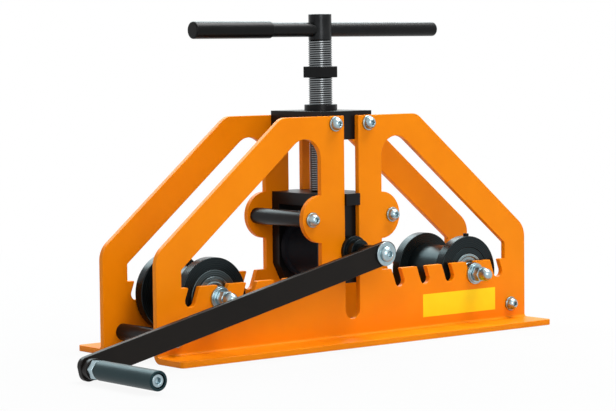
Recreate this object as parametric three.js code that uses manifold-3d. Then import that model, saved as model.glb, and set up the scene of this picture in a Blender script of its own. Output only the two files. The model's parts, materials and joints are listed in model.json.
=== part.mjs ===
import * as THREE from 'three';
import { mergeVertices } from 'three/addons/utils/BufferGeometryUtils.js';
import Module from 'manifold-3d';

// Hand cranked ring roller.
// Two folded side plates hold two idle rollers in slanted notches, and a yoke between the
// plates presses a driven roller down on the bar with a lead screw.
// Millimetres. +X runs along the machine, -Y faces the crank and +Z is up. The origin lies on
// the bench in the middle of the front foot, midway between the rollers.

// Side plates
const plateLength = 650;
const plateHeight = 306;
const plateThickness = 8;
const plateGap = 112;
const footReach = 54;
const foldInnerRadius = 4;
const footCornerRadius = 6;
const shoulderRise = 43.7;
const topHalfWidth = 118.7;
const topRadius = 22;
const shoulderRadius = 30;
const slotFloor = 31;

// Windows, ears and notches of a side plate
const columnWidth = 41;
const endBandWidth = 39.5;
const windowTopRadius = 27;
const windowSideRadius = 3;
const bandWidth = 41;
const ledgeHeight = 94;
const earRadius = 32;
const earRise = 75;
const notchCount = 5;
const usedNotch = 3;
const firstNotchRoom = 25.5;
const lastNotchRoom = 20.1;
const notchLean = THREE.MathUtils.degToRad(20);
const notchSeatDepth = 17.3;
const toothRadius = 1.5;

// Tie rods
const rodDiameter = 22;
const upperRodOffset = 17;
const lowerRodInset = 30;
const lowerRodHeight = 28.5;
const rodHoleDepth = 22;

// Button bolts of the frame
const boltDiameter = 10;
const boltHeadDiameter = 17.5;
const boltHeadHeight = 5.3;
const boltCollarDiameter = 20;
const boltCollarHeight = 2;
const boltLength = 27;
const boltSocket = 6;
const boltSocketDepth = 4;

// Bridge and screw nut
const bridgeHalfLength = 43;
const bridgeRise = 6;
const bridgeHeight = 38.5;
const bridgeWall = 12;
const bridgeCornerRadius = 3;
const bridgeBoltReach = 29;
const bridgeBoltDrop = 10.5;
const bossDiameter = 45;
const bossHeight = 8;
const spigotDiameter = 38;
const spigotReach = 20;

// Lead screw and what it carries
const screwDiameter = 30;
const screwHeadDiameter = 30.8;
const screwHeadLength = 35;
const screwNeckDiameter = 20;
const screwTailDiameter = 16;
const screwTailReach = 1.6;
const screwChamfer = 1.5;
const threadSpare = 36;
const stopTravel = 36.7;
const stopNutHeight = 15;
const stopNutFlats = 46;
const stopNutTurn = THREE.MathUtils.degToRad(50);
const thrustWasherDiameter = 34;
const thrustWasherThickness = 3;
const retainingNutFlats = 24;
const retainingNutHeight = 13;

// Tee bar
const teeBarDiameter = 19.6;
const teeBarHeight = 14;
const teeBarLeft = 220;
const teeBarRight = 215;
const sleeveDiameter = 23;
const sleeveLength = 136.5;
const sleeveEnd = 2.7;
const sleeveChamfer = 2;

// Yoke
const yokeHalfLength = 43;
const yokeDrop = 44.5;
const yokeTopThickness = 17;
const cheekThickness = 15;
const bevelLength = 11.5;
const bevelHeight = 23;
const tongueHeight = 16;
const tongueReach = 3;

// Driven roller and shaft
const shaftHeight = 123.5;
const shaftDiameter = 20;
const shaftSlotRoom = 2.5;
const shaftTailReach = 1;
const shaftChamfer = 1;
const driveRollerDiameter = 84;
const driveRollerCore = 78;
const driveRollerRim = 8;
const bushWall = 3;
const bushFlangeWidth = 4;
const bushFlangeThickness = 1.5;
const collarFlangeDiameter = 41;
const collarFlangeThickness = 5.7;
const collarDiameter = 32;
const collarLength = 17;
const keySide = 6;
const keyLength = 40;
const keySunk = 3.5;

// Crank
const crankLength = 482.5;
const crankDroop = THREE.MathUtils.degToRad(12.87);
const crankClearance = 5;
const armThickness = 8;
const armWidth = 30.6;
const armPivotReach = 4.5;
const armHandleReach = 13.6;
const armEndRadius = 11;
const spigotSquare = 14;
const crankWasherDiameter = 32;
const crankWasherThickness = 3;
const crankBoltDiameter = 12;
const crankBoltHeadDiameter = 21;
const crankBoltHeadHeight = 6.8;
const crankBoltLength = 34;
const crankBoltSocket = 8;
const crankBoltSocketDepth = 5;

// Handle
const handleBossDiameter = 26;
const handleBossHeight = 10;
const handleNutFlats = 22;
const handleNutHeight = 10;
const handleNutTurn = THREE.MathUtils.degToRad(41);
const gripDiameter = 24.5;
const gripLength = 118.7;
const gripRoom = 1.8;
const gripEndRadius = 1.6;
const gripPocketDiameter = 18;
const gripPocketDepth = 12;
const handleBoltDiameter = 10;
const handleBoltHeadDiameter = 16;
const handleBoltHeadHeight = 10;
const handleBoltChamfer = 0.8;
const handleBoltTail = 3;
const handleBoltSocket = 8;
const handleBoltSocketDepth = 6;

// Idle rollers
const hubDiameter = 72;
const hubSideRoom = 4;
const hubShoulder = 5.5;
const flangeDiameter = 104;
const flangeThickness = 15;
const bearingOuterDiameter = 55;
const bearingWidth = 13;
const bearingProud = 1;
const bearingRaceWidth = 4;
const bearingShieldDepth = 0.8;
const axleDiameter = 30;
const axleEndDiameter = 16;
const axleStudDiameter = 12;
const axleChamfer = 1.5;
const axleWasherDiameter = 30;
const axleWasherThickness = 3.2;
const axleWasherStepDiameter = 26;
const axleWasherStepHeight = 2.5;
const capNutFlats = 19;
const capNutHexHeight = 10;
const capNutDomeDiameter = 17.5;
const capNutDomeStart = 13;
const capNutHeight = 22;
const capNutBoreDepth = 16;

// Clearances, shared by all pieces: seats, bolts in holes, turning fits and sliding fits
const seatGap = 0.3;
const holeGap = 0.3;
const turnGap = 0.25;
const slideGap = 0.5;
const overrun = 1;

// Fineness of round faces
const largeArcStep = Math.PI / 12;
const smallArcStep = Math.PI / 6;
const smallArcRadius = 10;
const boltSides = 10;
const rodSides = 16;
const turnedSides = 18;
const rollerSides = 26;
const bearingSides = 18;

// Places worked out from the sizes above
const plateInner = plateGap / 2;
const plateOuter = plateInner + plateThickness;
const footEdge = plateOuter + footReach;
const foldOuterRadius = foldInnerRadius + plateThickness;
const footMiddle = (plateInner + foldOuterRadius + footEdge) / 2;
const slotWidth = shaftDiameter + 2 * shaftSlotRoom;
const columnHalfWidth = slotWidth / 2 + columnWidth;
const windowReach = plateLength / 2 - endBandWidth;
const shoulderHeight = ledgeHeight + shoulderRise;
const earHeight = ledgeHeight + earRise;
const upperRodReach = columnHalfWidth + upperRodOffset;
const lowerRodReach = plateLength / 2 - lowerRodInset;
const firstNotch = columnHalfWidth + firstNotchRoom;
const notchPitch = (windowReach - lastNotchRoom - firstNotch) / (notchCount - 1);
const notchWidth = axleEndDiameter + 2 * holeGap;
const seatHeight = ledgeHeight - notchSeatDepth;
const seatReach = firstNotch + notchPitch * usedNotch + notchSeatDepth * Math.tan(notchLean);
const bridgeTop = plateHeight + bridgeRise;
const bossTop = bridgeTop + seatGap + bossHeight;
const retainerStack = seatGap + thrustWasherThickness + seatGap + retainingNutHeight + screwTailReach;
const yokeInsideRise = driveRollerDiameter / 2 + retainerStack + seatGap;
const yokeRise = yokeInsideRise + yokeTopThickness;
const yokeOuter = plateInner - slideGap;
const yokeInner = yokeOuter - cheekThickness;
const yokeTop = shaftHeight + yokeRise;
const shoulderLift = seatGap;
const threadLength = bossTop + stopTravel + stopNutHeight + threadSpare - yokeTop - shoulderLift;
const collarFace = plateOuter + seatGap;
const armBack = footEdge + crankClearance;
const armFront = armBack + armThickness;
const hubFace = plateInner - hubSideRoom;
const bearingFace = hubFace + bearingProud;
const axleWasherBack = plateOuter + seatGap;
const axleWasherFront = axleWasherBack + axleWasherThickness + axleWasherStepHeight;
const capNutBack = axleWasherFront + seatGap;

const wasm = await Module();
wasm.setup();

// Closed solid of a geometry: shared corners merged and flat triangles at the poles left out.
function solidOf(geometry) {
  geometry.deleteAttribute('normal');
  geometry.deleteAttribute('uv');
  const merged = mergeVertices(geometry);
  const index = Array.from(merged.index.array);
  const kept = [];
  for (let i = 0; i < index.length; i += 3) {
    const [a, b, c] = index.slice(i, i + 3);
    if (a !== b && b !== c && c !== a) kept.push(a, b, c);
  }
  const vertProperties = new Float32Array(merged.attributes.position.array);
  const triVerts = new Uint32Array(kept);
  return new wasm.Manifold(new wasm.Mesh({ numProp: 3, vertProperties, triVerts }));
}

// Turns a closed solid back into a geometry for a mesh.
function geometryOf(solid) {
  const { vertProperties, triVerts } = solid.getMesh();
  const geometry = new THREE.BufferGeometry();
  geometry.setAttribute('position', new THREE.BufferAttribute(new Float32Array(vertProperties), 3));
  geometry.setIndex(new THREE.BufferAttribute(new Uint32Array(triVerts), 1));
  geometry.computeVertexNormals();
  return geometry;
}

// Loop of points through corners [x, y, radius], each round corner as an arc.
function roundedLoop(corners) {
  const points = [];
  corners.forEach(([x, y, radius = 0], i) => {
    const corner = new THREE.Vector2(x, y);
    if (radius === 0) {
      points.push(corner);
      return;
    }
    const [beforeX, beforeY] = corners.at(i - 1);
    const [afterX, afterY] = corners[(i + 1) % corners.length];
    const back = new THREE.Vector2(beforeX - x, beforeY - y).normalize();
    const ahead = new THREE.Vector2(afterX - x, afterY - y).normalize();
    const half = Math.acos(THREE.MathUtils.clamp(back.dot(ahead), -1, 1)) / 2;
    const centre = back.clone().add(ahead).normalize().multiplyScalar(radius / Math.sin(half)).add(corner);
    const start = back.clone().multiplyScalar(radius / Math.tan(half)).add(corner);
    const sweep = -Math.sign(back.cross(ahead)) * (Math.PI - 2 * half);
    const arcStep = radius < smallArcRadius ? smallArcStep : largeArcStep;
    const steps = Math.max(1, Math.round(Math.abs(sweep) / arcStep));
    for (let k = 0; k <= steps; k += 1) {
      points.push(start.clone().rotateAround(centre, (sweep * k) / steps));
    }
  });
  const closeness = seatGap / turnedSides;
  return points.filter((point, i) => point.distanceTo(points.at(i - 1)) > closeness);
}

// Regular loop of points round a centre: a circle's facets, or a hexagon or square by its corners.
function regularLoop(x, y, radius, sides, turn = 0) {
  return Array.from({ length: sides }, (_, i) => {
    const angle = turn + (2 * Math.PI * i) / sides;
    return new THREE.Vector2(x + radius * Math.cos(angle), y + radius * Math.sin(angle));
  });
}

function rectangle(left, low, right, high) {
  return roundedLoop([[left, low], [right, low], [right, high], [left, high]]);
}

function shapeOf(loop, holes = []) {
  const shape = new THREE.Shape(loop);
  shape.holes = holes.map((hole) => new THREE.Path(hole));
  return shape;
}

// Solids with a constant section, drawn in (y, z), (x, z) or (x, y).
function extruded(shape, from, to) {
  const geometry = new THREE.ExtrudeGeometry(shape, { depth: to - from, bevelEnabled: false });
  return geometry.translate(0, 0, from);
}

function prismX(shape, from, to) {
  return solidOf(extruded(shape, from, to).rotateX(Math.PI / 2).rotateZ(Math.PI / 2));
}

function prismY(shape, from, to) {
  return solidOf(extruded(shape, -to, -from).rotateX(Math.PI / 2));
}

function prismZ(shape, from, to) {
  return solidOf(extruded(shape, from, to));
}

// Turned solids from a profile of [radius, place along the axis], outside faces walked upward.
function turned(profile, sides) {
  const points = profile.map(([radius, along]) => new THREE.Vector2(radius, along));
  return new THREE.LatheGeometry(points, sides);
}

function turnedX(profile, sides) {
  return solidOf(turned(profile, sides).rotateZ(-Math.PI / 2));
}

function turnedY(profile, sides) {
  return solidOf(turned(profile, sides));
}

function turnedZ(profile, sides) {
  return solidOf(turned(profile, sides).rotateX(Math.PI / 2));
}

// Profiles
function rodProfile(radius, from, to, chamfer = 0) {
  return [
    [0, from],
    [radius - chamfer, from],
    [radius, from + chamfer],
    [radius, to - chamfer],
    [radius - chamfer, to],
    [0, to],
  ].filter(([r, along], i, all) => i === 0 || r !== all[i - 1][0] || along !== all[i - 1][1]);
}

function ringProfile(bore, radius, from, to) {
  return [[bore, from], [radius, from], [radius, to], [bore, to], [bore, from]];
}

function hexLoop(flats, turn = 0) {
  return regularLoop(0, 0, flats / 2 / Math.cos(Math.PI / 6), 6, turn);
}

// Finishes
function finish(colour, roughness, metalness) {
  return { color: colour, roughness, metalness };
}

const orangePowderCoat = finish(0xf08418, 0.45, 0);
const blackPaint = finish(0x1e1e20, 0.5, 0.1);
const blackenedSteel = finish(0x34383a, 0.45, 0.6);
const zincPlate = finish(0xbcc6cc, 0.35, 0.9);
const turnedSteel = finish(0x8c9092, 0.35, 0.9);
const bronze = finish(0xa07840, 0.45, 0.8);
const gripPlastic = finish(0x2a3032, 0.55, 0);

function addPiece(parent, name, solid, look) {
  const mesh = new THREE.Mesh(geometryOf(solid), new THREE.MeshStandardMaterial(look));
  mesh.name = name;
  parent.add(mesh);
  return mesh;
}

// Pieces that face outward along +Y on the rear side, turned half round for the front side.
const sides = [{ side: 'rear', turn: 0 }, { side: 'front', turn: Math.PI }];

// Notch at one place of the ledge: its two tooth corners and its full round bottom.
function notchCorners(i) {
  const centre = firstNotch + notchPitch * i;
  const halfMouth = notchWidth / 2 / Math.cos(notchLean);
  const depth = notchSeatDepth / Math.cos(notchLean) + notchWidth / 2;
  const bottomX = centre + depth * Math.sin(notchLean);
  const bottomZ = ledgeHeight - depth * Math.cos(notchLean);
  const acrossX = (notchWidth / 2) * Math.cos(notchLean);
  const acrossZ = (notchWidth / 2) * Math.sin(notchLean);
  return [
    [centre + halfMouth, ledgeHeight, toothRadius],
    [bottomX + acrossX, bottomZ + acrossZ, notchWidth / 2],
    [bottomX - acrossX, bottomZ - acrossZ, notchWidth / 2],
    [centre - halfMouth, ledgeHeight, toothRadius],
  ];
}

// Window: up the column past the ear, along the band, down to the ledge and back over the notches.
function windowLoop(direction) {
  const slope = (plateHeight - shoulderHeight) / (plateLength / 2 - topHalfWidth);
  const bandDrop = bandWidth * Math.hypot(1, slope);
  const bandHeight = (x) => plateHeight - bandDrop - (x - topHalfWidth) * slope;
  const notches = Array.from({ length: notchCount }, (_, i) => notchCorners(notchCount - 1 - i));
  const corners = [
    [columnHalfWidth, ledgeHeight],
    [columnHalfWidth, earHeight - earRadius],
    [columnHalfWidth + earRadius, earHeight - earRadius, earRadius],
    [columnHalfWidth + earRadius, earHeight + earRadius, earRadius],
    [columnHalfWidth, earHeight + earRadius],
    [columnHalfWidth, bandHeight(columnHalfWidth), windowTopRadius],
    [windowReach, bandHeight(windowReach), windowSideRadius],
    [windowReach, ledgeHeight],
    ...notches.flat(),
  ];
  return roundedLoop(corners.map(([x, z, radius]) => [direction * x, z, radius]));
}

// Rear side plate: an L section cut to the outline seen from the side.
function sidePlate() {
  const halfLength = plateLength / 2;
  const section = roundedLoop([
    [plateInner, 0, foldOuterRadius],
    [plateInner, plateHeight + overrun],
    [plateOuter, plateHeight + overrun],
    [plateOuter, plateThickness, foldInnerRadius],
    [footEdge, plateThickness],
    [footEdge, 0],
  ]);
  const outline = roundedLoop([
    [-halfLength, -overrun],
    [halfLength, -overrun],
    [halfLength, shoulderHeight, shoulderRadius],
    [topHalfWidth, plateHeight, topRadius],
    [slotWidth / 2, plateHeight],
    [slotWidth / 2, slotFloor, slotWidth / 2],
    [-slotWidth / 2, slotFloor, slotWidth / 2],
    [-slotWidth / 2, plateHeight],
    [-topHalfWidth, plateHeight, topRadius],
    [-halfLength, shoulderHeight, shoulderRadius],
  ]);
  const holeRadius = boltDiameter / 2 + holeGap;
  const holePlaces = [
    [upperRodReach, earHeight],
    [lowerRodReach, lowerRodHeight],
    [bridgeBoltReach, plateHeight - bridgeBoltDrop],
  ];
  const holes = [-1, 1].flatMap((direction) => [
    windowLoop(direction),
    ...holePlaces.map(([x, z]) => regularLoop(direction * x, z, holeRadius, boltSides)),
  ]);
  const plan = roundedLoop([
    [-halfLength, plateInner - overrun],
    [halfLength, plateInner - overrun],
    [halfLength, footEdge, footCornerRadius],
    [-halfLength, footEdge, footCornerRadius],
  ]);
  const angle = prismX(shapeOf(section), -halfLength - overrun, halfLength + overrun);
  const seenFromSide = prismY(shapeOf(outline, holes), plateInner - overrun, footEdge + overrun);
  const seenFromAbove = prismZ(shapeOf(plan), -overrun, plateHeight + overrun);
  return angle.intersect(seenFromSide).intersect(seenFromAbove);
}

// Button bolt along +Y: its seat at 0, the head above it and the shank below, with a hex socket.
function buttonBolt({ diameter, length, headDiameter, headHeight, collarDiameter, collarHeight, socket, socketDepth }) {
  const headRadius = headDiameter / 2;
  const top = collarHeight + headHeight;
  const domeShares = [[1, 0.3], [0.8, 0.8], [0.5, 1]];
  const collar = collarHeight > 0
    ? [[collarDiameter / 2, 0], [collarDiameter / 2, collarHeight], [headRadius, collarHeight]]
    : [[headRadius, 0]];
  const profile = [
    [0, -length],
    [diameter / 2, -length],
    [diameter / 2, 0],
    ...collar,
    ...domeShares.map(([radiusShare, heightShare]) => [
      headRadius * radiusShare,
      collarHeight + headHeight * heightShare,
    ]),
    [0, top],
  ];
  const cutter = prismY(shapeOf(hexLoop(socket)), top - socketDepth, top + overrun);
  return turnedY(profile, boltSides).subtract(cutter);
}

function frameBolt() {
  return buttonBolt({
    diameter: boltDiameter,
    length: boltLength,
    headDiameter: boltHeadDiameter,
    headHeight: boltHeadHeight,
    collarDiameter: boltCollarDiameter,
    collarHeight: boltCollarHeight,
    socket: boltSocket,
    socketDepth: boltSocketDepth,
  });
}

// Tie rod along Y with a threaded hole in each end.
function tieRod() {
  const end = plateInner - seatGap;
  const holeRadius = boltDiameter / 2 + holeGap;
  const profile = [
    [0, -end + rodHoleDepth],
    [holeRadius, -end + rodHoleDepth],
    [holeRadius, -end],
    [rodDiameter / 2, -end],
    [rodDiameter / 2, end],
    [holeRadius, end],
    [holeRadius, end - rodHoleDepth],
    [0, end - rodHoleDepth],
  ];
  return turnedY(profile, rodSides);
}

// Bridge: a channel, open below, with the screw nut's hole in its web and bolt holes in its flanges.
function bridge() {
  const outer = plateInner - seatGap;
  const inner = outer - bridgeWall;
  const low = bridgeTop - bridgeHeight;
  const section = roundedLoop([
    [-outer, low],
    [-inner, low],
    [-inner, bridgeTop - bridgeWall, bridgeCornerRadius],
    [inner, bridgeTop - bridgeWall, bridgeCornerRadius],
    [inner, low],
    [outer, low],
    [outer, bridgeTop],
    [-outer, bridgeTop],
  ]);
  const boreProfile = rodProfile(spigotDiameter / 2 + seatGap, low, bridgeTop + overrun);
  let solid = prismX(shapeOf(section), -bridgeHalfLength, bridgeHalfLength);
  solid = solid.subtract(turnedZ(boreProfile, turnedSides));
  for (const direction of [-1, 1]) {
    const place = [direction * bridgeBoltReach, plateHeight - bridgeBoltDrop];
    const hole = regularLoop(...place, boltDiameter / 2 + holeGap, boltSides);
    for (const side of [-1, 1]) {
      const reach = [side * (inner - boltLength), side * (outer + overrun)].sort((a, b) => a - b);
      solid = solid.subtract(prismY(shapeOf(hole), ...reach));
    }
  }
  return solid;
}

// Nut of the lead screw: a boss on the bridge and a spigot down through its web.
function screwNut() {
  const bore = screwDiameter / 2 + turnGap;
  const seat = bridgeTop + seatGap;
  const profile = [
    [bore, seat - spigotReach],
    [spigotDiameter / 2, seat - spigotReach],
    [spigotDiameter / 2, seat],
    [bossDiameter / 2, seat],
    [bossDiameter / 2, bossTop],
    [bore, bossTop],
    [bore, seat - spigotReach],
  ];
  return turnedZ(profile, turnedSides);
}

function buildFrame(frame) {
  const plate = sidePlate();
  const bolt = frameBolt();
  const boltSeat = plateOuter + seatGap;
  const places = { left: -1, right: 1 };
  for (const { side, turn } of sides) {
    addPiece(frame, `${side}_side_plate`, plate, orangePowderCoat).rotation.z = turn;
  }
  addPiece(frame, 'bridge', bridge(), blackPaint);
  addPiece(frame, 'screw_nut', screwNut(), blackPaint);
  for (const [hand, direction] of Object.entries(places)) {
    const rods = {
      upper: [direction * upperRodReach, earHeight],
      lower: [direction * lowerRodReach, lowerRodHeight],
    };
    const boltPlaces = {
      [`upper_${hand}_rod`]: rods.upper,
      [`lower_${hand}_rod`]: rods.lower,
      [`bridge_${hand}`]: [direction * bridgeBoltReach, plateHeight - bridgeBoltDrop],
    };
    for (const [level, [x, z]] of Object.entries(rods)) {
      addPiece(frame, `${level}_${hand}_rod`, tieRod(), blackPaint).position.set(x, 0, z);
    }
    for (const [name, [x, z]] of Object.entries(boltPlaces)) {
      for (const { side, turn } of sides) {
        const piece = addPiece(frame, `${name}_${side}_bolt`, bolt, zincPlate);
        piece.position.set(x, boltSeat * Math.cos(turn), z);
        piece.rotation.z = turn;
      }
    }
  }
}

// Yoke, drawn about the shaft's axis: top plate, two bevelled cheeks and a tongue for each slot.
function yoke() {
  const section = roundedLoop([
    [-yokeOuter, -yokeDrop],
    [-yokeInner, -yokeDrop],
    [-yokeInner, yokeInsideRise],
    [yokeInner, yokeInsideRise],
    [yokeInner, -yokeDrop],
    [yokeOuter, -yokeDrop],
    [yokeOuter, yokeRise],
    [-yokeOuter, yokeRise],
  ]);
  const outline = roundedLoop([
    [-yokeHalfLength, yokeRise + overrun],
    [-yokeHalfLength, bevelHeight - yokeDrop],
    [bevelLength - yokeHalfLength, -yokeDrop],
    [yokeHalfLength - bevelLength, -yokeDrop],
    [yokeHalfLength, bevelHeight - yokeDrop],
    [yokeHalfLength, yokeRise + overrun],
  ]);
  const tongueHalf = slotWidth / 2 - seatGap;
  const tongueEnd = plateOuter + tongueReach;
  const tongue = rectangle(-tongueHalf, yokeRise - tongueHeight, tongueHalf, yokeRise);
  const bushHole = regularLoop(0, 0, shaftDiameter / 2 + turnGap + bushWall + seatGap, turnedSides);
  const neckHole = rodProfile(screwNeckDiameter / 2 + turnGap, yokeInsideRise - overrun, yokeRise + overrun);
  return prismX(shapeOf(section), -yokeHalfLength - overrun, yokeHalfLength + overrun)
    .intersect(prismY(shapeOf(outline), -yokeOuter - overrun, yokeOuter + overrun))
    .add(prismY(shapeOf(tongue), -tongueEnd, tongueEnd))
    .subtract(prismY(shapeOf(bushHole), -yokeOuter - overrun, yokeOuter + overrun))
    .subtract(turnedZ(neckHole, turnedSides));
}

// Flanged bush in a cheek, facing outward along +Y.
function bush() {
  const bore = shaftDiameter / 2 + turnGap;
  const radius = bore + bushWall;
  const flangeOut = yokeInner - seatGap;
  const flangeIn = flangeOut - bushFlangeThickness;
  const profile = [
    [bore, flangeIn],
    [radius + bushFlangeWidth, flangeIn],
    [radius + bushFlangeWidth, flangeOut],
    [radius, flangeOut],
    [radius, yokeOuter],
    [bore, yokeOuter],
    [bore, flangeIn],
  ];
  return turnedY(profile, rodSides);
}

// Lead screw, drawn from the top of the yoke: thread, smooth head with a cross hole, neck and tail.
function leadScrew() {
  const radius = screwDiameter / 2;
  const headRadius = screwHeadDiameter / 2;
  const neckEnd = seatGap / 2 - yokeTopThickness - seatGap;
  const tailEnd = -yokeTopThickness - retainerStack;
  const threadTop = shoulderLift + threadLength;
  const top = threadTop + screwHeadLength;
  const profile = [
    [0, tailEnd],
    [screwTailDiameter / 2, tailEnd],
    [screwTailDiameter / 2, neckEnd],
    [screwNeckDiameter / 2, neckEnd],
    [screwNeckDiameter / 2, shoulderLift],
    [radius, shoulderLift],
    [radius, threadTop],
    [headRadius, threadTop],
    [headRadius, top - screwChamfer],
    [headRadius - screwChamfer, top],
    [0, top],
  ];
  const holeHeight = threadTop + teeBarHeight;
  const hole = regularLoop(0, holeHeight, teeBarDiameter / 2 + holeGap, rodSides);
  return turnedZ(profile, turnedSides).subtract(prismX(shapeOf(hole), -screwDiameter, screwDiameter));
}

// Tee bar along X with a domed right end.
function teeBar() {
  const radius = teeBarDiameter / 2;
  const domeShares = [[1, 0], [0.9, 0.4], [0.6, 0.75], [0.25, 0.95]];
  const dome = domeShares.map(([radiusShare, reachShare]) => [
    radius * radiusShare,
    teeBarRight - radius / 2 + (radius / 2) * reachShare,
  ]);
  return turnedX([[0, -teeBarLeft], [radius, -teeBarLeft], ...dome, [0, teeBarRight]], rodSides);
}

// Sleeve over the left end of the tee bar, closed outside and open towards the screw.
function teeBarSleeve() {
  const radius = sleeveDiameter / 2;
  const bore = teeBarDiameter / 2 + turnGap;
  const closedEnd = -teeBarLeft - seatGap - sleeveEnd;
  const openEnd = closedEnd + sleeveLength;
  const profile = [
    [0, closedEnd],
    [radius - sleeveChamfer, closedEnd],
    [radius, closedEnd + sleeveChamfer],
    [radius, openEnd],
    [bore, openEnd],
    [bore, closedEnd + sleeveEnd],
    [0, closedEnd + sleeveEnd],
  ];
  return turnedX(profile, rodSides);
}

function hexNutShape(flats, bore, turn = 0) {
  return shapeOf(hexLoop(flats, turn), [regularLoop(0, 0, bore, turnedSides)]);
}

function buildScrew(press) {
  const screw = new THREE.Group();
  screw.position.z = yokeRise;
  press.add(screw);
  addPiece(screw, 'lead_screw', leadScrew(), turnedSteel);
  const barHeight = shoulderLift + threadLength + teeBarHeight;
  addPiece(screw, 'tee_bar', teeBar(), blackenedSteel).position.z = barHeight;
  addPiece(screw, 'tee_bar_sleeve', teeBarSleeve(), gripPlastic).position.z = barHeight;

  const stopLow = bossTop + stopTravel - yokeTop;
  const stopShape = hexNutShape(stopNutFlats, screwDiameter / 2 + turnGap, stopNutTurn);
  addPiece(screw, 'stop_nut', prismZ(stopShape, stopLow, stopLow + stopNutHeight), blackenedSteel);

  const washerTop = -yokeTopThickness - seatGap;
  const washerLow = washerTop - thrustWasherThickness;
  const tailBore = screwTailDiameter / 2 + holeGap;
  const washer = ringProfile(tailBore, thrustWasherDiameter / 2, washerLow, washerTop);
  addPiece(screw, 'screw_thrust_washer', turnedZ(washer, turnedSides), turnedSteel);

  const nutTop = washerLow - seatGap;
  const nutShape = hexNutShape(retainingNutFlats, tailBore);
  addPiece(screw, 'screw_retaining_nut', prismZ(nutShape, nutTop - retainingNutHeight, nutTop), zincPlate);
}

// Shaft along Y: keyed for the driven roller, with a square spigot and a threaded hole at the crank.
function driveShaft() {
  const radius = shaftDiameter / 2;
  const front = -armBack + seatGap;
  const rear = collarFace + collarLength + shaftTailReach;
  const spigotEnd = -armFront + seatGap;
  const spigotHalf = spigotSquare / 2;
  const spigot = rectangle(-spigotHalf, -spigotHalf, spigotHalf, spigotHalf);
  const threadedHole = rodProfile(crankBoltDiameter / 2 + holeGap, spigotEnd - overrun, spigotEnd + crankBoltLength);
  const keyway = rectangle(-keySide / 2 - seatGap, radius - keySunk - seatGap, keySide / 2 + seatGap, shaftDiameter);
  const keywayEnd = keyLength / 2 + seatGap;
  return turnedY(rodProfile(radius, front, rear, shaftChamfer), turnedSides)
    .add(prismY(shapeOf(spigot), spigotEnd, front + overrun))
    .subtract(turnedY(threadedHole, boltSides))
    .subtract(prismY(shapeOf(keyway), -keywayEnd, keywayEnd));
}

function shaftKey() {
  const low = shaftDiameter / 2 - keySunk;
  const section = rectangle(-keySide / 2, low, keySide / 2, low + keySide);
  return prismY(shapeOf(section), -keyLength / 2, keyLength / 2);
}

// Collar of the shaft: a flange that slides on the plate beside the slot, and a clamping ring.
function shaftCollar() {
  const bore = shaftDiameter / 2 + seatGap;
  const step = collarFace + collarFlangeThickness;
  const end = collarFace + collarLength;
  const profile = [
    [bore, collarFace],
    [collarFlangeDiameter / 2, collarFace],
    [collarFlangeDiameter / 2, step],
    [collarDiameter / 2, step],
    [collarDiameter / 2, end],
    [bore, end],
    [bore, collarFace],
  ];
  return turnedY(profile, turnedSides);
}

// Driven roller: a spool with two rims, bored for the shaft and the key.
function driveRoller() {
  const bore = shaftDiameter / 2 + seatGap;
  const end = yokeInner - seatGap - bushFlangeThickness - seatGap;
  const rim = driveRollerDiameter / 2;
  const core = driveRollerCore / 2;
  const slope = rim - core;
  const profile = [
    [bore, -end],
    [rim, -end],
    [rim, -end + driveRollerRim],
    [core, -end + driveRollerRim + slope],
    [core, end - driveRollerRim - slope],
    [rim, end - driveRollerRim],
    [rim, end],
    [bore, end],
    [bore, -end],
  ];
  const keyTop = shaftDiameter / 2 - keySunk + keySide + seatGap;
  const keyway = rectangle(-keySide / 2 - seatGap, 0, keySide / 2 + seatGap, keyTop);
  return turnedY(profile, turnedSides).subtract(prismY(shapeOf(keyway), -end - overrun, end + overrun));
}

// Crank arm along -X from the shaft: a square hole at the shaft, a boss and a round hole at the handle.
function crankArm() {
  const radius = armWidth / 2;
  const outline = roundedLoop([
    [-crankLength - armHandleReach, -radius, armEndRadius],
    [armPivotReach + radius, -radius, radius],
    [armPivotReach + radius, radius, radius],
    [-crankLength - armHandleReach, radius, armEndRadius],
  ]);
  const squareHalf = spigotSquare / 2 + holeGap;
  const squareHole = rectangle(-squareHalf, -squareHalf, squareHalf, squareHalf);
  const boss = regularLoop(-crankLength, 0, handleBossDiameter / 2, turnedSides);
  const bossFace = -armFront - handleBossHeight;
  const handleHole = regularLoop(-crankLength, 0, handleBoltDiameter / 2 + holeGap, boltSides);
  return prismY(shapeOf(outline, [squareHole]), -armFront, -armBack)
    .add(prismY(shapeOf(boss), bossFace, -armFront + overrun))
    .subtract(prismY(shapeOf(handleHole), bossFace - overrun, -armBack + overrun));
}

function crankBolt() {
  return buttonBolt({
    diameter: crankBoltDiameter,
    length: crankBoltLength,
    headDiameter: crankBoltHeadDiameter,
    headHeight: crankBoltHeadHeight,
    collarDiameter: 0,
    collarHeight: 0,
    socket: crankBoltSocket,
    socketDepth: crankBoltSocketDepth,
  });
}

// Socket bolt through grip, nut and arm: its head sits in the grip's pocket.
function handleBolt(headSeat) {
  const headRadius = handleBoltHeadDiameter / 2;
  const headTop = headSeat - handleBoltHeadHeight;
  const tail = -armBack + handleBoltTail;
  const profile = [
    [0, headTop],
    [headRadius - handleBoltChamfer, headTop],
    [headRadius, headTop + handleBoltChamfer],
    [headRadius, headSeat],
    [handleBoltDiameter / 2, headSeat],
    [handleBoltDiameter / 2, tail],
    [0, tail],
  ];
  const socket = prismY(shapeOf(hexLoop(handleBoltSocket)), headTop - overrun, headTop + handleBoltSocketDepth);
  return turnedY(profile, boltSides).subtract(socket);
}

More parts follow.
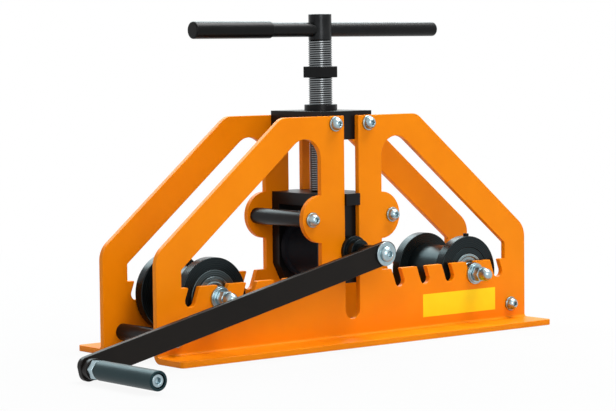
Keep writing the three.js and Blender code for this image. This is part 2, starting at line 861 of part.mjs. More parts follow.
// Handle grip: a tube with rounded ends and a pocket for the bolt's head.
function handleGrip(back, pocketFloor) {
  const radius = gripDiameter / 2;
  const bore = handleBoltDiameter / 2 + turnGap;
  const pocket = gripPocketDiameter / 2;
  const end = back - gripLength;
  const profile = [
    [pocket, end],
    [radius - gripEndRadius, end],
    [radius - gripEndRadius * (1 - Math.SQRT1_2), end + gripEndRadius * (1 - Math.SQRT1_2)],
    [radius, end + gripEndRadius],
    [radius, back - gripEndRadius],
    [radius - gripEndRadius, back],
    [bore, back],
    [bore, pocketFloor],
    [pocket, pocketFloor],
    [pocket, end],
  ];
  return turnedY(profile, turnedSides);
}

function buildCrank(press) {
  const crank = new THREE.Group();
  crank.rotation.y = -crankDroop;
  press.add(crank);
  addPiece(crank, 'drive_shaft', driveShaft(), blackenedSteel);
  addPiece(crank, 'shaft_key', shaftKey(), turnedSteel);
  addPiece(crank, 'upper_roller', driveRoller(), blackenedSteel);
  const collar = shaftCollar();
  for (const { side, turn } of sides) {
    addPiece(crank, `${side}_collar`, collar, blackenedSteel).rotation.z = turn;
  }
  addPiece(crank, 'crank_arm', crankArm(), blackPaint);

  const washerBack = armFront + seatGap;
  const washerFront = washerBack + crankWasherThickness;
  const washerBore = crankBoltDiameter / 2 + holeGap;
  const washer = ringProfile(washerBore, crankWasherDiameter / 2, -washerFront, -washerBack);
  addPiece(crank, 'crank_washer', turnedY(washer, rodSides), zincPlate);
  const boltPiece = addPiece(crank, 'crank_bolt', crankBolt(), zincPlate);
  boltPiece.position.y = -washerFront - seatGap;
  boltPiece.rotation.z = Math.PI;

  const handle = new THREE.Group();
  handle.position.x = -crankLength;
  crank.add(handle);
  const nutBack = -armFront - handleBossHeight - seatGap;
  const nutFront = nutBack - handleNutHeight;
  const nutShape = hexNutShape(handleNutFlats, handleBoltDiameter / 2 + holeGap, handleNutTurn);
  addPiece(handle, 'handle_nut', prismY(nutShape, nutFront, nutBack), zincPlate);
  const gripBack = nutFront - gripRoom;
  const pocketFloor = gripBack - gripLength + gripPocketDepth;
  addPiece(handle, 'handle_bolt', handleBolt(pocketFloor - seatGap), zincPlate);
  addPiece(handle, 'handle_grip', handleGrip(gripBack, pocketFloor), gripPlastic);
}

function buildPress(press) {
  press.position.z = shaftHeight;
  addPiece(press, 'carriage', yoke(), blackPaint);
  for (const { side, turn } of sides) {
    addPiece(press, `${side}_bush`, bush(), bronze).rotation.z = turn;
  }
  buildScrew(press);
  buildCrank(press);
}

// Hub of an idle roller: a tube with a seat for a bearing in each end.
function rollerHub() {
  const seat = bearingOuterDiameter / 2 + seatGap;
  const bore = bearingOuterDiameter / 2 - hubShoulder;
  const radius = hubDiameter / 2;
  const seatFloor = bearingFace - bearingWidth - seatGap;
  const profile = [
    [bore, -seatFloor],
    [seat, -seatFloor],
    [seat, -hubFace],
    [radius, -hubFace],
    [radius, hubFace],
    [seat, hubFace],
    [seat, seatFloor],
    [bore, seatFloor],
    [bore, -seatFloor],
  ];
  return turnedY(profile, rollerSides);
}

function rollerFlange() {
  const bore = hubDiameter / 2 + seatGap;
  return turnedY(ringProfile(bore, flangeDiameter / 2, hubFace - flangeThickness, hubFace), rollerSides);
}

// Ball bearing as one ring: an inner and an outer race with the shield sunk between them.
function bearing() {
  const bore = axleDiameter / 2 + turnGap;
  const radius = bearingOuterDiameter / 2;
  const back = bearingFace - bearingWidth;
  const profile = [
    [bore, back],
    [radius, back],
    [radius, bearingFace],
    [radius - bearingRaceWidth, bearingFace],
    [radius - bearingRaceWidth, bearingFace - bearingShieldDepth],
    [bore + bearingRaceWidth, bearingFace - bearingShieldDepth],
    [bore + bearingRaceWidth, bearingFace],
    [bore, bearingFace],
    [bore, back],
  ];
  return turnedY(profile, bearingSides);
}

// Axle: a thick body between the plates, a thinner end in each notch and a threaded stud outside.
function axle() {
  const body = axleDiameter / 2;
  const end = axleEndDiameter / 2;
  const stud = axleStudDiameter / 2;
  const bodyEnd = plateInner - seatGap;
  const studStart = plateOuter - seatGap;
  const tip = capNutBack + capNutBoreDepth - overrun;
  const half = [
    [body, bodyEnd],
    [end, bodyEnd],
    [end, studStart],
    [stud, studStart],
    [stud, tip - axleChamfer],
    [stud - axleChamfer, tip],
    [0, tip],
  ];
  const otherHalf = half.map(([radius, along]) => [radius, -along]).reverse();
  return turnedY([...otherHalf, ...half], rodSides);
}

// Stepped washer under the cap nut, facing outward along +Y.
function axleWasher() {
  const bore = axleStudDiameter / 2 + holeGap;
  const step = axleWasherBack + axleWasherThickness;
  const profile = [
    [bore, axleWasherBack],
    [axleWasherDiameter / 2, axleWasherBack],
    [axleWasherDiameter / 2, step],
    [axleWasherStepDiameter / 2, step],
    [axleWasherStepDiameter / 2, axleWasherFront],
    [bore, axleWasherFront],
    [bore, axleWasherBack],
  ];
  return turnedY(profile, rodSides);
}

// Cap nut along +Y: a hexagon with a dome on it and a blind threaded hole from its seat.
function capNut() {
  const radius = capNutDomeDiameter / 2;
  const hexEnd = capNutBack + capNutHexHeight;
  const domeStart = capNutBack + capNutDomeStart;
  const rise = capNutHeight - capNutDomeStart;
  const domeArcs = [0, 1, 2].map((step) => {
    const angle = (step * Math.PI) / 6;
    return [radius * Math.cos(angle), domeStart + rise * Math.sin(angle)];
  });
  const dome = [...domeArcs, [0, domeStart + rise]];
  const hole = rodProfile(axleStudDiameter / 2 + holeGap, capNutBack - overrun, capNutBack + capNutBoreDepth);
  return prismY(shapeOf(hexLoop(capNutFlats)), capNutBack, hexEnd)
    .add(turnedY([[0, hexEnd - overrun], [radius, hexEnd - overrun], ...dome], boltSides))
    .subtract(turnedY(hole, rodSides));
}

function buildIdleRoller(unit, hand) {
  const washer = axleWasher();
  const nut = capNut();
  const flange = rollerFlange();
  const ballBearing = bearing();
  addPiece(unit, `${hand}_roller_hub`, rollerHub(), blackenedSteel);
  addPiece(unit, `${hand}_axle`, axle(), zincPlate);
  for (const { side, turn } of sides) {
    addPiece(unit, `${hand}_roller_${side}_flange`, flange, blackenedSteel).rotation.z = turn;
    addPiece(unit, `${hand}_${side}_bearing`, ballBearing, turnedSteel).rotation.z = turn;
    addPiece(unit, `${hand}_axle_${side}_washer`, washer, zincPlate).rotation.z = turn;
    addPiece(unit, `${hand}_axle_${side}_nut`, nut, zincPlate).rotation.z = turn;
  }
}

const ringRoller = new THREE.Group();
const machine = new THREE.Group();
const frame = new THREE.Group();
const press = new THREE.Group();
ringRoller.add(machine);
machine.position.y = footMiddle;
machine.add(frame, press);
buildFrame(frame);
buildPress(press);
for (const [hand, direction] of Object.entries({ left: -1, right: 1 })) {
  const unit = new THREE.Group();
  unit.position.set(direction * seatReach, 0, seatHeight);
  machine.add(unit);
  buildIdleRoller(unit, hand);
}

export default ringRoller;
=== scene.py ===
# %% [markdown]
# A hand cranked ring roller, dressed for its picture.
# The machine is a solid model that is loaded as a fixed frame: every piece made here sits on
# one of its bodies, with +X along the machine, -Y towards the crank and +Z up.
# Sheet steel, turned steel, threads and nuts all get the small rounds that a real edge has,
# because it is those rounds that catch the light.

# %% Frame
import json
import math

import bmesh
import bpy
import numpy as np
from mathutils import Matrix, Vector


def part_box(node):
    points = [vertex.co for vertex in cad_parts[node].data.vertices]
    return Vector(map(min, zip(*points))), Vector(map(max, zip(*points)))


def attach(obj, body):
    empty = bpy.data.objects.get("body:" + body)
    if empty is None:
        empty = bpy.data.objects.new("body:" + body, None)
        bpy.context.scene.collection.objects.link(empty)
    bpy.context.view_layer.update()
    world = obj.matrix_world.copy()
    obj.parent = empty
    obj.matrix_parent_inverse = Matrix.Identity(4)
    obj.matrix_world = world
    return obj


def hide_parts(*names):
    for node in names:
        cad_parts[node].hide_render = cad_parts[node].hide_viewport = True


MM = 0.001
TURN = 2 * math.pi

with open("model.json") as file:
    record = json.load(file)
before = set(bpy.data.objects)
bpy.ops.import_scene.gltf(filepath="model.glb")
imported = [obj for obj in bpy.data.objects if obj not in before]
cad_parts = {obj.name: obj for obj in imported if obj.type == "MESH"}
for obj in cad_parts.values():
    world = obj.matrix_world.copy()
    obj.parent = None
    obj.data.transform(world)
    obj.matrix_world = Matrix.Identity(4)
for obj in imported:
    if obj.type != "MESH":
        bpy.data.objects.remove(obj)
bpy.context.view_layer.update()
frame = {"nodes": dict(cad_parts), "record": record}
nodes = frame["nodes"]
record = frame["record"]

# %% [markdown]
# Pieces are drawn in millimetres about the machine's middle plane, where its two sides mirror
# each other. The frame has its origin in the front foot, so one vector carries them over.
# The record says on which body a node moves and which finish it has, and a finer piece that
# stands for a node takes both over from it.

# %% Reading the frame

MIDDLE = np.array((0, sum(corner[1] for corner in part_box("bridge")) / 2 / MM, 0))
slot_of = {part["node"]: part["material_slot"] for part in record["subparts"]}
body_of = {node: body for body, names in record["behaviour"]["bodies"].items() for node in names}


def middle(node):
    """Middle of a node's box, in millimetres from the middle plane."""
    low, high = (np.array(corner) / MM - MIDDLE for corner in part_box(node))
    return (low + high) / 2


print("middle plane at Y", round(MIDDLE[1], 2), "mm, finishes:", sorted(set(slot_of.values())))

# %% [markdown]
# Colours are written as the sRGB hex values that one would pick from a paint card. Shaders
# work in linear light, so one function turns the first into the second.

# %% Colour and node helpers


def linear(hex_colour):
    """sRGB hex value to linear RGBA: each channel over 12.92 near black, else a power of 2.4."""
    channels = [int(hex_colour[i:i + 2], 16) / 255 for i in (1, 3, 5)]
    curve = [c / 12.92 if c <= 0.04045 else ((c + 0.055) / 1.055) ** 2.4 for c in channels]
    return (*curve, 1.0)


def add_node(tree, kind, inputs=None, **settings):
    """Adds a node, sets its own settings, and gives each input a value or a link."""
    made = tree.nodes.new(kind)
    for name, value in settings.items():
        setattr(made, name, value)
    for name, value in (inputs or {}).items():
        socket = made.inputs[name]
        if isinstance(value, bpy.types.NodeSocket):
            tree.links.new(value, socket)
        else:
            socket.default_value = value
    return made


def new_material(name):
    """Empty material with its output, and the point on the piece that all patterns read."""
    made = bpy.data.materials.new(name)
    made.use_nodes = True
    tree = made.node_tree
    tree.nodes.clear()
    output = add_node(tree, "ShaderNodeOutputMaterial")
    place = add_node(tree, "ShaderNodeTexCoord").outputs["Object"]
    return made, tree, output, place


def ramp(tree, factor, stops):
    """Colour ramp over a factor, from pairs of place and linear colour."""
    made = add_node(tree, "ShaderNodeValToRGB", {"Fac": factor})
    elements = made.color_ramp.elements
    while len(elements) < len(stops):
        elements.new(1.0)
    for element, (place, colour) in zip(elements, stops):
        element.position = place
        element.color = colour
    return made.outputs["Color"]


def clouds(tree, place, size_mm, detail=3.0):
    """Soft noise whose patches are about this size."""
    inputs = {"Vector": place, "Scale": 1 / (size_mm * MM), "Detail": detail}
    return add_node(tree, "ShaderNodeTexNoise", inputs).outputs["Fac"]


def spread(tree, factor, centre, half):
    """Maps a factor from 0 to 1 onto a centre value, plus or minus a half width."""
    inputs = {"Value": factor, "To Min": centre - half, "To Max": centre + half}
    return add_node(tree, "ShaderNodeMapRange", inputs).outputs["Result"]


def raised(tree, height, height_mm):
    """Bump whose white stands this far over its black."""
    inputs = {"Height": height, "Strength": 1.0, "Distance": height_mm * MM}
    return add_node(tree, "ShaderNodeBump", inputs).outputs["Normal"]


def surface(tree, output, **inputs):
    """Joins a principled surface to the output. Underscores in names stand for spaces."""
    named = {name.replace("_", " "): value for name, value in inputs.items()}
    skin = add_node(tree, "ShaderNodeBsdfPrincipled", named)
    tree.links.new(skin.outputs["BSDF"], output.inputs["Surface"])


# %% [markdown]
# Powder coat is a dry polyester powder, sprayed on and baked to a thick skin. It has no
# metal in it, so its colour comes from the body and its gloss from the clear resin on top.
# Seen close, the baked skin is slightly wavy, like the peel of an orange, over 1 to 2 mm.
# The crank's black is a warmer one than that of the bridge and the yoke.

# %% Powder coats

PEEL_HEIGHT_MM = 0.02


def powder_coat(name, base, shade, roughness, gloss, peel_mm):
    """Paint of two close tones, which wander over 60 mm, under a skin with waves of the peel's size."""
    made, tree, output, place = new_material(name)
    tone = clouds(tree, place, size_mm=60)
    peel = clouds(tree, place, peel_mm, detail=2.0)
    surface(
        tree, output,
        Base_Color=ramp(tree, tone, [(0.3, linear(shade)), (0.7, linear(base))]),
        Roughness=spread(tree, tone, roughness, 0.04),
        Specular_IOR_Level=gloss,
        Normal=raised(tree, peel, PEEL_HEIGHT_MM),
    )
    return made


orange_coat = powder_coat("satin_orange_powder", "#F08702", "#EA8000", roughness=0.4, gloss=0.12, peel_mm=2.0)
black_coat = powder_coat("satin_black_powder", "#121213", "#0D0D0E", roughness=0.34, gloss=0.14, peel_mm=1.6)
warm_black = powder_coat("satin_warm_black_powder", "#16120F", "#110E0C", roughness=0.34, gloss=0.13, peel_mm=1.6)
print("coats:", orange_coat.name, black_coat.name, warm_black.name)

# %% [markdown]
# The shaft and collars are machined steel, blackened in a hot salt bath. The oxide is thin, so
# the metal's own gloss still shows. The screw's head is rubbed a little brighter by hands. The
# tee bar and stop nut are oiled over the oxide. The driven roller is drawn duller and darker
# still, as painted shade for the dark inside of the yoke where it sits. These are so dark that
# they are drawn without metallic reflection. Bolts, nuts and washers are zinc plated and
# passivated, which leaves them bright and a little blue.

# %% Blackened, plated and bare steel


def plain_metal(name, base, shade, roughness, metallic, cloud_mm, gloss=0.5):
    """Metal of two close tones, which wander over clouds of a size, with a fine grain over it."""
    made, tree, output, place = new_material(name)
    tone = clouds(tree, place, cloud_mm)
    grain = clouds(tree, place, size_mm=0.8, detail=2.0)
    surface(
        tree, output,
        Base_Color=ramp(tree, tone, [(0.35, linear(shade)), (0.65, linear(base))]),
        Metallic=metallic,
        Specular_IOR_Level=gloss,
        Roughness=spread(tree, tone, roughness, 0.03),
        Normal=raised(tree, grain, 0.002),
    )
    return made


# name, light tone, dark tone, roughness, metallic, size of the clouds in mm, gloss
hot_black = plain_metal("hot_blackened_steel", "#252D2F", "#1D2325", 0.28, 0.8, 14, 0.2)
deep_black = plain_metal("oiled_black_steel", "#0A0B0C", "#060708", 0.34, 0.0, 10, 0.15)
rubbed_black = plain_metal("rubbed_black_steel", "#28292A", "#202122", 0.29, 0.85, 12, 0.2)
# the driven roller's darker, duller black is painted shade for the inside of the yoke
shade_darkened_black = plain_metal("shade_darkened_roller_steel", "#14161C", "#101218", 0.6, 0.0, 10, 0.06)
zinc = plain_metal("bright_zinc_plate", "#A9BCC2", "#97ABB2", 0.3, 1.0, 8)
steel = plain_metal("bare_steel", "#A2A4A6", "#8E9193", 0.3, 1.0, 9)
bronze = plain_metal("sintered_bronze", "#A98250", "#8F6C40", 0.45, 1.0, 4)
print("metals:", [m.name for m in (hot_black, deep_black, rubbed_black, shade_darkened_black, zinc, steel, bronze)])

# %% [markdown]
# The end of a roller is faced off on a lathe: the tool leaves fine rings round the axis, and
# they pull a highlight out into a fan. Real rings are a tenth of a millimetre apart, too fine
# to show from here, so they are drawn as 0.6 mm rings over broader bands of tone. The left
# roller's hub has lighter tones than the right one's, as painted light: the left hub catches
# more light, and both hubs are the same steel.

# %% Faced steel

WAVES_PER_SCALE = 20  # a wave texture multiplies distance by its scale and by this number


def faced_steel(name, centre, base, shade, roughness, metallic, bands_mm=2.6):
    """Metal with tool rings round the Y axis through a centre, which the Mapping node moves to."""
    made, tree, output, place = new_material(name)
    away = tuple(-(np.array(centre) + MIDDLE) * MM)
    centred = add_node(tree, "ShaderNodeMapping", {"Vector": place, "Location": away}).outputs["Vector"]

    def rings(width_mm, distortion):
        """Waves that repeat each time the distance, times scale and waves, has gone a full turn."""
        scale = TURN / (WAVES_PER_SCALE * width_mm * MM)
        inputs = {"Vector": centred, "Scale": scale, "Distortion": distortion}
        made = add_node(tree, "ShaderNodeTexWave", inputs, wave_type="RINGS", rings_direction="Y")
        return made.outputs["Fac"]

    bands = rings(bands_mm, 0.6)
    surface(
        tree, output,
        Base_Color=ramp(tree, bands, [(0.2, linear(shade)), (0.8, linear(base))]),
        Metallic=metallic,
        Specular_IOR_Level=0.2,
        Roughness=spread(tree, bands, roughness, 0.04),
        Normal=raised(tree, rings(0.6, 0.3), 0.005),
    )
    return made


faced = {}
# The left hub's lighter pair of tones is painted light, not a different steel.
for hand, base, shade in (("left", "#5A6568", "#3A4345"), ("right", "#2E3638", "#232B2D")):
    centre = middle(f"{hand}_axle")
    faced[hand] = {
        "flange": faced_steel(f"{hand}_faced_flange", centre, "#242B2D", "#1F2527", 0.3, 0.8),
        "hub": faced_steel(f"{hand}_faced_hub", centre, base, shade, 0.33, 0.9),
        "bearing": faced_steel(f"{hand}_ground_races", centre, "#A9BCC0", "#5C6769", 0.25, 1.0, 1.6),
    }
print("faced finishes on either roller:", sorted(faced["left"]))

# %% [markdown]
# The screw is bare steel, smoother on the crest of each turn than in the root. Its colour
# follows the distance from the screw's axis: near black in the root, as painted shade for
# the groove, and the steel's own grey on the crest.

# %% Thread steel


def root_shaded_thread(name, root_mm, crest_mm, root_shade, bare_crest, roughness):
    """Colour by the distance from the Z axis through the middle plane: a dark root, which is painted shade for the
    groove, and a bright crest.
    """
    made, tree, output, place = new_material(name)
    to_axis = {"Vector": place, "Location": tuple(-MIDDLE * MM)}
    centred = add_node(tree, "ShaderNodeMapping", to_axis).outputs["Vector"]
    without_z = {0: centred, 1: (1, 1, 0)}
    flat = add_node(tree, "ShaderNodeVectorMath", without_z, operation="MULTIPLY").outputs["Vector"]
    away = add_node(tree, "ShaderNodeVectorMath", {0: flat}, operation="LENGTH").outputs["Value"]
    limits = {"From Min": root_mm * MM, "From Max": crest_mm * MM}
    crest_share = add_node(tree, "ShaderNodeMapRange", {"Value": away, **limits}).outputs["Result"]
    polish = {"Value": crest_share, "To Min": 0.4, "To Max": roughness}
    surface(
        tree, output,
        # the root's near black is painted shade for the groove, and the crest's grey is the steel itself
        Base_Color=ramp(tree, crest_share, [(0.25, linear(root_shade)), (0.85, linear(bare_crest))]),
        Metallic=1.0,
        Roughness=add_node(tree, "ShaderNodeMapRange", polish).outputs["Result"],
    )
    return made


THREAD_ROOT, THREAD_CREST = 15.0, 16.2
# The root's near black is painted shade for the grooves, and the crest's grey is the steel itself.
thread_steel = root_shaded_thread(
    "root_shaded_thread_steel", THREAD_ROOT, THREAD_CREST, root_shade="#18191B", bare_crest="#808486", roughness=0.27,
)
print("thread from", THREAD_ROOT, "to", THREAD_CREST, "mm from its axis")

# %% [markdown]
# The grips are dipped vinyl: soft plastic, black, with the dull sheen that a rubbery skin
# gives along its top. The strip on the front plate is a smooth yellow film.

# %% Vinyl grip and film


def plastic(name, base, shade, roughness, grain_mm, grain_height_mm, gloss, tint="#FFFFFF"):
    """Plastic of two close tones, which wander over 25 mm, with a fine grain and a tinted gloss."""
    made, tree, output, place = new_material(name)
    tone = clouds(tree, place, size_mm=25)
    grain = clouds(tree, place, grain_mm)
    surface(
        tree, output,
        Base_Color=ramp(tree, tone, [(0.3, linear(shade)), (0.7, linear(base))]),
        Roughness=spread(tree, tone, roughness, 0.03),
        Specular_IOR_Level=gloss,
        Specular_Tint=linear(tint),
        Normal=raised(tree, grain, grain_height_mm),
    )
    return made


# name, light tone, dark tone, roughness, size and height of the grain in mm, gloss, its tint
grip_vinyl = plastic("dipped_vinyl", "#1B282B", "#162225", 0.4, 1.2, 0.01, 0.26, "#98ECFA")
sleeve_vinyl = plastic("dipped_sleeve_vinyl", "#08090A", "#050606", 0.32, 1.2, 0.01, 0.13)
yellow_film = plastic("yellow_film", "#FCDA14", "#F8D40C", 0.35, 3.0, 0.004, 0.15)
look_of_slot = {
    "orange_powder_coat": orange_coat,
    "black_paint": black_coat,
    "blackened_steel": hot_black,
    "turned_steel": steel,
    "zinc_plate": zinc,
    "bronze": bronze,
    "black_plastic": grip_vinyl,
}


def dress(piece, material):
    """Gives a piece one material in one slot."""
    piece.data.materials.clear()
    piece.data.materials.append(material)


for name, node in nodes.items():
    dress(node, look_of_slot[slot_of[name]])
print("dressed", len(nodes), "nodes")

# %% [markdown]
# Every new surface is a grid: one parameter runs along a profile or a height, the other round
# an axis or an outline. Neighbours on the grid make the faces, so a surface needs only the
# formula for its points. Drawn in its own axes, it is then laid along one of the machine's.
# Each direction below lists where the part's own X, Y and Z point once it is laid.

# %% Grids and directions

DIRECTIONS = {
    "+x": ((0, 0, -1), (0, 1, 0), (1, 0, 0)),
    "-x": ((0, 0, 1), (0, 1, 0), (-1, 0, 0)),
    "+y": ((1, 0, 0), (0, 0, -1), (0, 1, 0)),
    "-y": ((1, 0, 0), (0, 0, 1), (0, -1, 0)),
}


def grid(points, close_rows=False, close_columns=False):
    """Points and quads of a grid: each quad joins a point to its next row and next column."""
    rows, columns = points.shape[:2]
    row = np.arange(rows if close_rows else rows - 1)[:, None, None]
    column = np.arange(columns if close_columns else columns - 1)[None, :, None]
    row_step = np.array((0, 0, 1, 1))
    column_step = np.array((0, 1, 1, 0))
    corners = (row + row_step) % rows * columns + (column + column_step) % columns
    return points.reshape(-1, 3), corners.reshape(-1, 4)


def laid(part, facing, at=(0, 0, 0)):
    """A part's own axes turned to a direction of the machine, and its origin moved to a place."""
    points, faces = part
    return points @ np.array(DIRECTIONS[facing], float) + np.array(at, float), faces


def filleted(corners, closed=False, arc_step=0.2):
    """Points through corners (x, y, radius): a round corner is an arc that touches both its sides,
    so its centre lies on their bisector, at the radius over the sine of half the angle between them."""
    places = np.array([(*corner, 0.0)[:3] for corner in corners], float)
    stretches = []
    for i, (x, y, radius) in enumerate(places):
        here = np.array((x, y))
        if radius == 0:
            stretches.append(here[None])
            continue
        back = places[i - 1, :2] - here
        ahead = places[(i + 1) % len(places), :2] - here
        back, ahead = back / np.hypot(*back), ahead / np.hypot(*ahead)
        half = math.acos(np.clip(back @ ahead, -1, 1)) / 2
        centre = here + (back + ahead) / np.hypot(*(back + ahead)) * radius / math.sin(half)
        arm = here + back * radius / math.tan(half) - centre
        sweep = -np.sign(back[0] * ahead[1] - back[1] * ahead[0]) * (math.pi - 2 * half)
        angle = np.linspace(0, sweep, max(2, math.ceil(abs(sweep) / arc_step) + 1))[:, None]
        stretches.append(centre + arm * np.cos(angle) + np.array((-arm[1], arm[0])) * np.sin(angle))
    points = np.concatenate(stretches)
    step = np.hypot(*(points - np.roll(points, 1, axis=0)).T)
    return points[(step > 1e-3) | (not closed and np.arange(len(points)) == 0)]


square = filleted([(0, 0, 2), (10, 0, 2), (10, 10, 2), (0, 10, 2)], closed=True)
print("a 10 mm square with 2 mm corners has", len(square), "points")

# %% [markdown]
# Most of the machine is turned: rollers, rods, bolts, nuts, washers, collars, bar and grip. A
# turned surface is a profile carried round its axis, and a profile lists corners as radius,
# height and, where a corner is rounded, the radius of its round. Where the radius is a formula
# of the angle, the same surface also gives the flats of a nut and the six sides of a socket.

# %% Turned surfaces


def turned(profile, ring=False, segments=48, turn=0.0):
    """Profile of (radius, height) carried round the height's axis: x and y are the radius times
    the angle's cosine and sine. Radius and height are numbers or formulas of the angle."""
    angle = turn + TURN * np.arange(segments) / segments

    def at_angle(value):
        return np.broadcast_to(value(angle) if callable(value) else value, angle.shape)

    radius = np.stack([at_angle(r) for r, h in profile])
    height = np.stack([at_angle(h) for r, h in profile])
    points = np.stack((radius * np.cos(angle), radius * np.sin(angle), height), axis=-1)
    return grid(points, close_rows=ring, close_columns=True)


def hexagon(flats, turn=0.0):
    """Radius of a hexagon with a corner at an angle: half its flats over the cosine of the angle
    from the middle of the nearest side."""
    return lambda angle: flats / 2 / np.cos((angle - turn) % (TURN / 6) - TURN / 12)


def hex_profile(flats, low, high, turn=0.0):
    """Outside of a nut whose corners are cut by 30 degree cones that start just inside its flats."""
    rim = 0.475 * flats
    side = hexagon(flats, turn)

    def drop(angle):
        """Depth of the cut: how far the side is past the rim, times the tangent of 30 degrees."""
        return (side(angle) - rim) * math.tan(TURN / 12)

    lower = [(rim, low), (side, lambda angle: low + drop(angle))]
    return [*lower, (side, lambda angle: high - drop(angle)), (rim, high)]


def socket_profile(flats, mouth, floor, turn=0.0):
    """Inside of a hex socket: round mouth with a lead, six flats, and a drilled cone at the bottom."""
    side = hexagon(flats, turn)
    cone = [(flats * 0.4, floor), (0, floor - flats * 0.2)]
    return [(flats * 0.62, mouth), (side, mouth - 0.5), (side, floor), *cone]


def dome(radius, low, rise, reach=TURN / 4, steps=9):
    """Part of an ellipse: its radius times the cosine, and its rise times the sine, up to a reach."""
    swing = np.linspace(0, reach, steps)
    return np.stack((radius * np.cos(swing), low + rise * np.sin(swing)), 1)


def button_head(flange, flange_height, radius, height, socket, socket_depth, turn):
    """Head of a button bolt over its seat: an optional flange, a dome whose outline is an ellipse
    up to 60 degrees, and a socket."""
    top = flange_height + height
    cap = dome(radius, flange_height, height / math.sin(TURN / 6), reach=TURN / 6, steps=7)
    rim = [(0, 0), (flange, 0, 0.4), (flange, flange_height, 0.6), (radius, flange_height)]
    rim = filleted(rim)[1:] if flange else []
    return [*rim, *cap, *socket_profile(socket, top, top - socket_depth, turn)]


print("corner radius of a 46 mm nut:", round(float(hexagon(46)(np.array(0.0))), 2), "mm")

# %% [markdown]
# A finished piece is one mesh in metres whose origin is the frame's. Doubled points are
# merged, which closes seams and poles, and the normals are worked out again so that all
# faces look outwards. Weighted normals keep broad faces flat between their rounded edges.

# %% Making a piece


def finished(name, mesh, look, body):
    """Welds and turns out a mesh, smooths it between creases, and lets it ride on a body."""
    shell = bmesh.new()
    shell.from_mesh(mesh)
    bmesh.ops.remove_doubles(shell, verts=shell.verts, dist=0.002 * MM)
    bmesh.ops.dissolve_degenerate(shell, edges=shell.edges, dist=0.001 * MM)
    bmesh.ops.recalc_face_normals(shell, faces=shell.faces)
    loose = sum(edge.is_boundary for edge in shell.edges)
    shell.to_mesh(mesh)
    shell.free()
    mesh.shade_smooth()
    mesh.set_sharp_from_angle(angle=math.radians(40))
    piece = bpy.data.objects.new(name, mesh)
    bpy.context.scene.collection.objects.link(piece)
    weighted = piece.modifiers.new("broad faces stay flat", "WEIGHTED_NORMAL")
    weighted.keep_sharp = True
    dress(piece, look)
    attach(piece, body)
    if loose:
        print("open edges on", name, loose)
    return piece


def joined(parts):
    """Several parts as one: the corners of each part count on from the last point before it."""
    starts = np.cumsum([0] + [len(points) for points, faces in parts]).tolist()
    points = np.concatenate([points for points, faces in parts])
    counted = [(start, face) for start, (_, faces) in zip(starts, parts) for face in faces]
    return points, [tuple(int(corner) + start for corner in face) for start, face in counted]


def new_piece(name, parts, look, body):
    """One piece from parts in millimetres, each a pair of points and faces."""
    points, faces = joined(parts)
    mesh = bpy.data.meshes.new(name)
    mesh.from_pydata(((points + MIDDLE) * MM).tolist(), [], faces)
    return finished(name, mesh, look, body)


def stands_for(node, name, parts, look=None):
    """A finer piece in the place of a node, which it hides, riding on the node's body and, unless told, with the
    finish of the node's slot.
    """
    look = look or look_of_slot[slot_of[node]]
    piece = new_piece(name, parts, look, body_of[node])
    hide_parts(node)


# %% [markdown]
# The side plates are laser cut from 8 mm sheet and folded into an L, and the paint rounds
# their cut edges. The blank is drawn flat, as the laser sees it: its outline and every
# opening are one loop each. A narrow band of offset loops makes the rounded edge, and the
# two faces between the loops are filled. Only then does a formula bend the whole blank.

# %% Plate helper

SAME_PLACE = 1e-4  # points closer than this, in millimetres, are the same


def offset(loop, distance):
    """Each point moved along its mitre: the sum of both sides' normals, over one plus the cosine
    between them, so that both sides move by the distance."""
    ahead = np.roll(loop, -1, axis=0) - loop
    ahead /= np.hypot(*ahead.T)[:, None]
    normal = np.stack((-ahead[:, 1], ahead[:, 0]), 1)
    before = np.roll(normal, 1, axis=0)
    return loop + distance * (normal + before) / (1 + (normal * before).sum(1, keepdims=True))


def signed_area(loop):
    """Half the sum of cross products of neighbours: positive where the loop runs leftwards."""
    x, y = loop.T
    return (x * np.roll(y, -1) - y * np.roll(x, -1)).sum() / 2


def plate(outline, openings, thickness, ease, cuts=()):
    """Flat plate over (x, y) from height 0 to its thickness, with its edges eased by a quarter
    round. Cuts are lines y = constant that get their own points, so that a plate can bend there."""
    quarter = np.linspace(0, TURN / 4, 4)
    inset = ease * (1 - np.sin(quarter))
    depth = ease * (1 - np.cos(quarter))
    inset = np.concatenate((inset, inset[::-1]))
    height = np.concatenate((depth, thickness - depth[::-1]))
    parts = []
    for loop, inner in [(outline, False), *((opening, True) for opening in openings)]:
        loop = loop if (signed_area(loop) > 0) != inner else loop[::-1]
        rows = [np.column_stack((offset(loop, i), np.full(len(loop), h))) for i, h in zip(inset, height)]
        parts.append(grid(np.stack(rows), close_columns=True))
    points, faces = joined(parts)
    mesh = bpy.data.meshes.new("plate")
    mesh.from_pydata(points.tolist(), [], faces)
    shell = bmesh.new()
    shell.from_mesh(mesh)
    for level in (0.0, thickness):
        open_edges = [edge for edge in shell.edges if edge.is_boundary]
        rim = [edge for edge in open_edges if all(abs(v.co.z - level) < SAME_PLACE for v in edge.verts)]
        bmesh.ops.triangle_fill(shell, use_beauty=True, edges=rim)
    for cut in cuts:
        cut_here = {"plane_co": (0, cut, 0), "plane_no": (0, 1, 0), "dist": SAME_PLACE}
        bmesh.ops.bisect_plane(shell, geom=[*shell.verts, *shell.edges, *shell.faces], **cut_here)
    shell.to_mesh(mesh)
    shell.free()
    points = np.empty(len(mesh.vertices) * 3)
    mesh.vertices.foreach_get("co", points)
    faces = [tuple(polygon.vertices) for polygon in mesh.polygons]
    bpy.data.meshes.remove(mesh)
    return points.reshape(-1, 3), faces


print("a 10 mm square moved in by 1 mm has area", round(signed_area(offset(square, 1)), 2))

# %% [markdown]
# The openings repeat the solid model's sizes. A window runs up its column past the half round
# ear of the upper rod, along the slanting band, and back over five notches that lean inwards,
# so that the load on a roller's axle pushes it deeper into its seat.

# %% Outline and openings of a side plate

